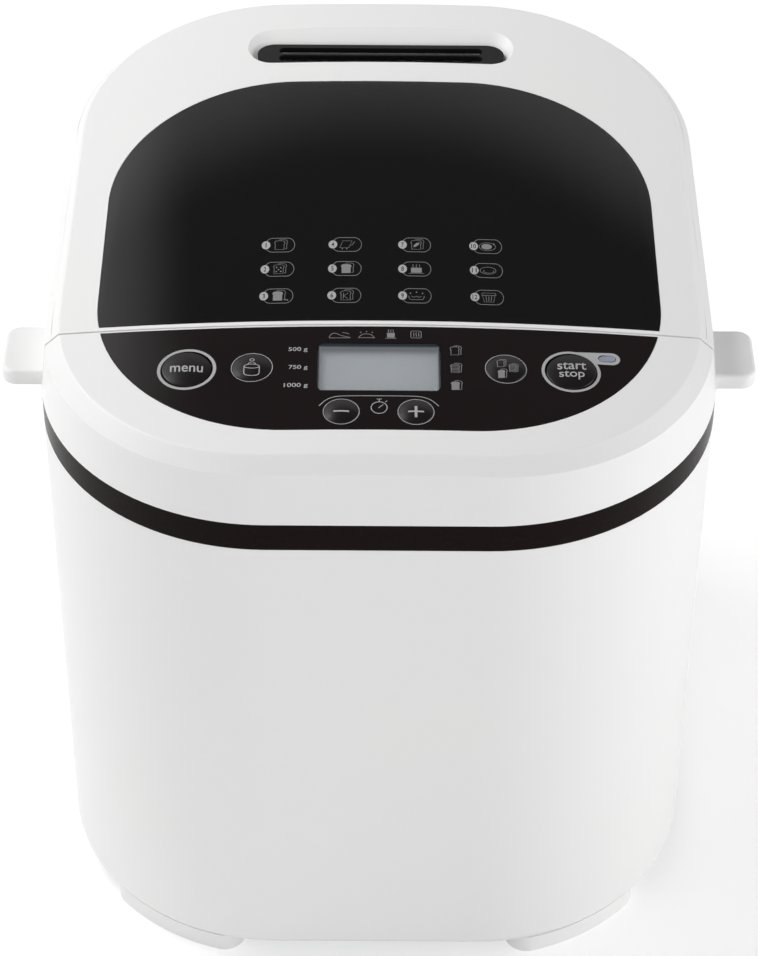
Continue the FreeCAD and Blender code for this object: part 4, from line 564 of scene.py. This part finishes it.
lidMarks = {
    "columns": [(-45.7, -34.05), (-18.8, -7.2), (9.2, 20.6), (37.8, 49.2)],  # badge centre, pill end
    "rows": [128.4, 113.7, 97.6],
    "pill": (3.1, 1.42),  # end radius across, and how much deeper it is drawn so that it looks round from the front
    "pillPast": 0.2,  # half of how far the pill starts before the badge's centre
    "badge": (1.74, 1.42),  # radius across, and how much deeper
    "line": 0.2,
    "icons": [
        "plainSlice", "seedSlice", "soakedSlice", "rolledLoaf", "filledSlice", "quickSlice",
        "grainSlice", "cake", "dough", "bun", "plate", "pot",
    ],
    "iconPlace": 5.5,
    "iconSize": (4.3, 5.4),
    "wideIcons": ("dough", "plate", "rolledLoaf"),
    "wideIconSize": (3.4, 5.4),
    "digitHalf": [0.18] + [0.5] * 8 + [0.95] * 3,
    "digitHigh": 1.35,
    "badgeLift": 0.09,
    "digitLift": 0.12,
}
ink = bmesh.new()
badges = bmesh.new()
digits = bmesh.new()
perColumn = len(lidMarks["rows"])
for index, name in enumerate(lidMarks["icons"]):
    left, right = lidMarks["columns"][index // perColumn]
    y = lidMarks["rows"][index % perColumn]
    end, deep = lidMarks["pill"]
    half = (right - left) / 2 + lidMarks["pillPast"] - end
    ring(ink, (left + right) / 2 - lidMarks["pillPast"], y, end, lidMarks["line"], half, deep)
    size = lidMarks["wideIconSize" if name in lidMarks["wideIcons"] else "iconSize"]
    drawIcon(ink, name, left + lidMarks["iconPlace"], y, *size, lidMarks["line"])
    disc(badges, left, y, *lidMarks["badge"])
    half, high = lidMarks["digitHalf"][index], lidMarks["digitHigh"]
    setWords(digits, str(index + 1), left - half, left + half, y - high, y + high)
finishPrint(ink, "lidPrint", "lid", "dimInk", onTop)
finishPrint(badges, "lidBadges", "lid", "ink", onTop, lidMarks["badgeLift"])
finishPrint(digits, "lidNumbers", "lid", "panel_plastic", onTop, lidMarks["digitLift"])
print("lid print made")


# gently domed key caps, in mm from the top surface and in degrees, and their marks
capForm = {
    "rim": 0.3, "dome": 0.75, "domeSteps": 12, "edge": 0.45, "edgeFrom": 72, "edgeSteps": 4, "skirt": -3.3,
    "flange": 1.0, "flangeThick": 0.9, "stem": 2.0, "footGap": 0.3, "steps": 72, "weld": 1e-4, "sharp": 40,
}
caps = {  # marks are words and bars as (left, right, low, high), or icons as (across, deeper, wide, deep)
    "menu_button": {
        "body": "menu_key", "place": (-74.2, 56.4), "radius": 9.6, "words": [("menu", -6.35, 6.35, -2.4, 1.1)],
    },
    "start_stop_button": {
        "body": "start_stop_key", "place": (74.2, 56.4), "radius": 9.6,
        "words": [("start", -5.3, 5.9, 0.25, 4.5), ("stop", -4.75, 5.1, -5.1, -0.5)],
    },
    "weight_button": {
        "body": "weight_key", "place": (-49.0, 56.4), "radius": 7.7, "line": 0.36,
        "icons": [("scaleWeight", 0, -0.5, 5.4, 7.6)],
    },
    "crust_button": {
        "body": "crust_key", "place": (49.0, 56.4), "radius": 7.7, "line": 0.28, "ink": "dimInk",
        "icons": [
            ("plainSlice", -2.0, 2.2, 3.0, 4.0), ("mediumSlice", 2.6, -0.4, 3.0, 4.0),
            ("filledSlice", -1.8, -3.6, 3.0, 4.0),
        ],
    },
    "minus_button": {
        "body": "minus_key", "place": (-14.2, 31.3), "radius": 6.6, "bars": [(-3.0, 3.0, -1.2, -0.4)],
    },
    "plus_button": {
        "body": "plus_key", "place": (14.2, 31.3), "radius": 6.6,
        "bars": [(-3.0, 3.0, -1.15, -0.35), (-0.52, 0.52, -3.7, 2.2)],
    },
}


def domeHeight(away, radius):
    rim = radius - capForm["edge"]
    ball = (rim ** 2 + capForm["dome"] ** 2) / (2 * capForm["dome"])
    return capForm["rim"] + math.sqrt(max(ball ** 2 - min(away, rim) ** 2, 0)) - (ball - capForm["dome"])


def capSurface(keyX, keyY, radius):
    def height(x, y):
        return onTop(keyX, keyY) + (y - keyY) * topSlope + domeHeight(math.hypot(x - keyX, y - keyY), radius)

    return height


def spinCap(keyName, body, keyX, keyY, radius):
    edge, skirt, stem = capForm["edge"], capForm["skirt"], capForm["stem"]
    rim = radius - edge
    brim = radius + capForm["flange"]
    under = skirt - capForm["flangeThick"]
    foot = (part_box(keyName)[0].z / mm - onTop(keyX, keyY)) + capForm["footGap"]
    spread = [rim * i / capForm["domeSteps"] for i in range(capForm["domeSteps"] + 1)]
    path = [(away, domeHeight(away, radius)) for away in spread]
    path += arc(rim, capForm["rim"] - edge, edge, edge, capForm["edgeFrom"], 0, capForm["edgeSteps"])
    path += [(radius, skirt), (brim, skirt), (brim, under), (stem, under), (stem, foot), (0, foot)]
    bm = bmesh.new()
    chain = [bm.verts.new((r, 0, z)) for r, z in path]
    edges = [bm.edges.new(pair) for pair in zip(chain, chain[1:])]
    around = {"cent": (0, 0, 0), "axis": (0, 0, 1), "angle": math.tau, "steps": capForm["steps"]}
    bmesh.ops.spin(bm, geom=chain + edges, use_merge=True, **around)
    bmesh.ops.remove_doubles(bm, verts=bm.verts, dist=capForm["weld"])
    bmesh.ops.recalc_face_normals(bm, faces=bm.faces)
    place = Matrix.Translation((keyX, keyY + topForm["front"], onTop(keyX, keyY)))
    place = Matrix.Scale(mm, 4) @ place @ Matrix.Rotation(topForm["tilt"], 4, "X")
    bmesh.ops.transform(bm, matrix=place, verts=bm.verts)
    mesh = bpy.data.meshes.new(keyName.replace("_button", "Cap"))
    bm.to_mesh(mesh)
    bm.free()
    mesh.shade_smooth()
    mesh.set_sharp_from_angle(angle=math.radians(capForm["sharp"]))
    mesh.materials.append(made["key_plastic"])
    cap = bpy.data.objects.new(mesh.name, mesh)
    scene.collection.objects.link(cap)
    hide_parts(keyName)
    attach(cap, body)


for keyName, key in caps.items():
    keyX, keyY = key["place"]
    spinCap(keyName, key["body"], keyX, keyY, key["radius"])
    ink = bmesh.new()
    for words, left, right, low, high in key.get("words", []):
        setWords(ink, words, keyX + left, keyX + right, keyY + low, keyY + high)
    longEdges = [e for e in ink.edges if e.calc_length() > inkForm["longEdge"]]
    if longEdges:
        bmesh.ops.subdivide_edges(ink, edges=longEdges, cuts=inkForm["cuts"])
    for name, x, y, wide, deep in key.get("icons", []):
        drawIcon(ink, name, keyX + x, keyY + y, wide, deep, key["line"])
    for left, right, low, high in key.get("bars", []):
        place = moved(keyX + (left + right) / 2, keyY + (low + high) / 2, right - left, high - low)
        steps = inkForm["barSteps"]
        bmesh.ops.create_grid(ink, x_segments=steps, y_segments=steps, size=0.5, matrix=place)
    markName = keyName.replace("_button", "").replace("_", "") + "Mark"
    finishPrint(ink, markName, key["body"], key.get("ink", "ink"), capSurface(keyX, keyY, key["radius"]))
print("key marks made")


studio = {  # metres and watts
    "floorSize": 16.0,
    "floorTone": "#dcdcdc",
    "floorGlow": 0.45,
    "plainFrom": 0.5,  # how far out the sweep starts to turn plain white, and where it is
    "plainAt": 1.3,
    "lamps": {
        "left": {"place": (-1.85, -0.55, 0.7), "aim": (0, 0, 0.15), "size": (1.5, 1.2), "power": 8.8},
        "right": {"place": (1.85, -0.45, 0.5), "aim": (0, 0, 0.15), "size": (1.5, 1.0), "power": 18},
        "over": {"place": (-0.78, 0.42, 1.28), "aim": (0, 0.05, 0.28), "size": (0.7, 0.7), "power": 10.2},
        "front": {"place": (0, -2.5, 0.75), "aim": (0, 0, 0.15), "size": (1.8, 1.2), "power": 10.5},
    },
    "haze": {  # axis, where it starts and ends, and what it goes from and to
        "low": ("Z", 0.652, 0.682, 0.58, 0.09),
        "left": ("X", -0.13, -0.24, 0, 1.3),
        "behind": ("Y", 0.3, 0.6, 0, 1),
        "raised": ("Z", 0.5, 0.62, 0, 1),
    },
}
white = (1, 1, 1, 1)
bm = bmesh.new()
bmesh.ops.create_grid(bm, x_segments=2, y_segments=2, size=studio["floorSize"] / 2)
floorMesh = bpy.data.meshes.new("studioFloor")
bm.to_mesh(floorMesh)
bm.free()
floor = bpy.data.objects.new("studioFloor", floorMesh)
scene.collection.objects.link(floor)
paper = bpy.data.materials.new("Paper sweep matt white")  # flat white, takes the soft shadow under the feet
paper.use_nodes = True
tree = paper.node_tree
tree.nodes.clear()
rays = addNode(tree, "ShaderNodeLightPath").outputs
seen = mathNode(tree, "MAXIMUM", rays["Is Camera Ray"], rays["Is Glossy Ray"])
seen = mathNode(tree, "MAXIMUM", seen, rays["Is Transmission Ray"])
share = mathNode(tree, "MULTIPLY", seen, studio["floorGlow"])
spot = addNode(tree, "ShaderNodeTexCoord").outputs["Object"]
away = addNode(tree, "ShaderNodeVectorMath", {0: spot}, operation="LENGTH").outputs["Value"]
plain = fadeNode(tree, away, studio["plainFrom"], studio["plainAt"], 0, 1 - studio["floorGlow"])
share = mathNode(tree, "MULTIPLY_ADD", plain, rays["Is Camera Ray"], share)
matt = addNode(tree, "ShaderNodeBsdfDiffuse", {"Color": linear(studio["floorTone"])})
glow = addNode(tree, "ShaderNodeEmission", {"Color": white, "Strength": share})
blend = addNode(tree, "ShaderNodeAddShader", {0: matt.outputs[0], 1: glow.outputs[0]})
addNode(tree, "ShaderNodeOutputMaterial", {"Surface": blend.outputs[0]})
floorMesh.materials.append(paper)

world = bpy.data.worlds.new("Studio room")  # dim above, paler low and to the left, as the lid glass mirrors it
scene.world = world
world.use_nodes = True
tree = world.node_tree
tree.nodes.clear()
way = addNode(tree, "ShaderNodeTexCoord").outputs["Generated"]
axes = addNode(tree, "ShaderNodeSeparateXYZ", {0: way}).outputs
fades = {name: fadeNode(tree, axes[axis], *ends) for name, (axis, *ends) in studio["haze"].items()}
patch = mathNode(tree, "MULTIPLY", fades["left"], fades["behind"])
tone = mathNode(tree, "MULTIPLY_ADD", patch, fades["raised"], fades["low"])
rays = addNode(tree, "ShaderNodeLightPath").outputs
seen = mathNode(tree, "MAXIMUM", rays["Is Camera Ray"], rays["Is Transmission Ray"])
tone = mathNode(tree, "MAXIMUM", seen, tone)
room = addNode(tree, "ShaderNodeBackground", {"Color": white, "Strength": tone})
addNode(tree, "ShaderNodeOutputWorld", {"Surface": room.outputs[0]})

for name, lamp in studio["lamps"].items():
    light = bpy.data.lights.new(name + "SoftBox", "AREA")
    light.shape = "RECTANGLE"
    light.size, light.size_y = lamp["size"]
    light.energy = lamp["power"]
    box = bpy.data.objects.new(name + "SoftBox", light)
    scene.collection.objects.link(box)
    box.location = lamp["place"]
    box.rotation_euler = (Vector(lamp["aim"]) - box.location).to_track_quat("-Z", "Y").to_euler()

view = {"place": (0, -1.0054, 1.0151), "down": 40.9, "roll": 0.35, "sensor": 36, "lens": 114.1, "shift": 0.00084}
camera = bpy.data.objects.new("photoCamera", bpy.data.cameras.new("photoCamera"))
scene.collection.objects.link(camera)
camera.data.sensor_width = view["sensor"]
camera.data.lens = view["lens"]
camera.data.shift_x = view["shift"]
turn = Matrix.Rotation(math.radians(90 - view["down"]), 4, "X") @ Matrix.Rotation(math.radians(view["roll"]), 4, "Z")
camera.matrix_world = Matrix.Translation(view["place"]) @ turn
scene.camera = camera
scene.view_settings.view_transform = "Standard"
print("stage set")
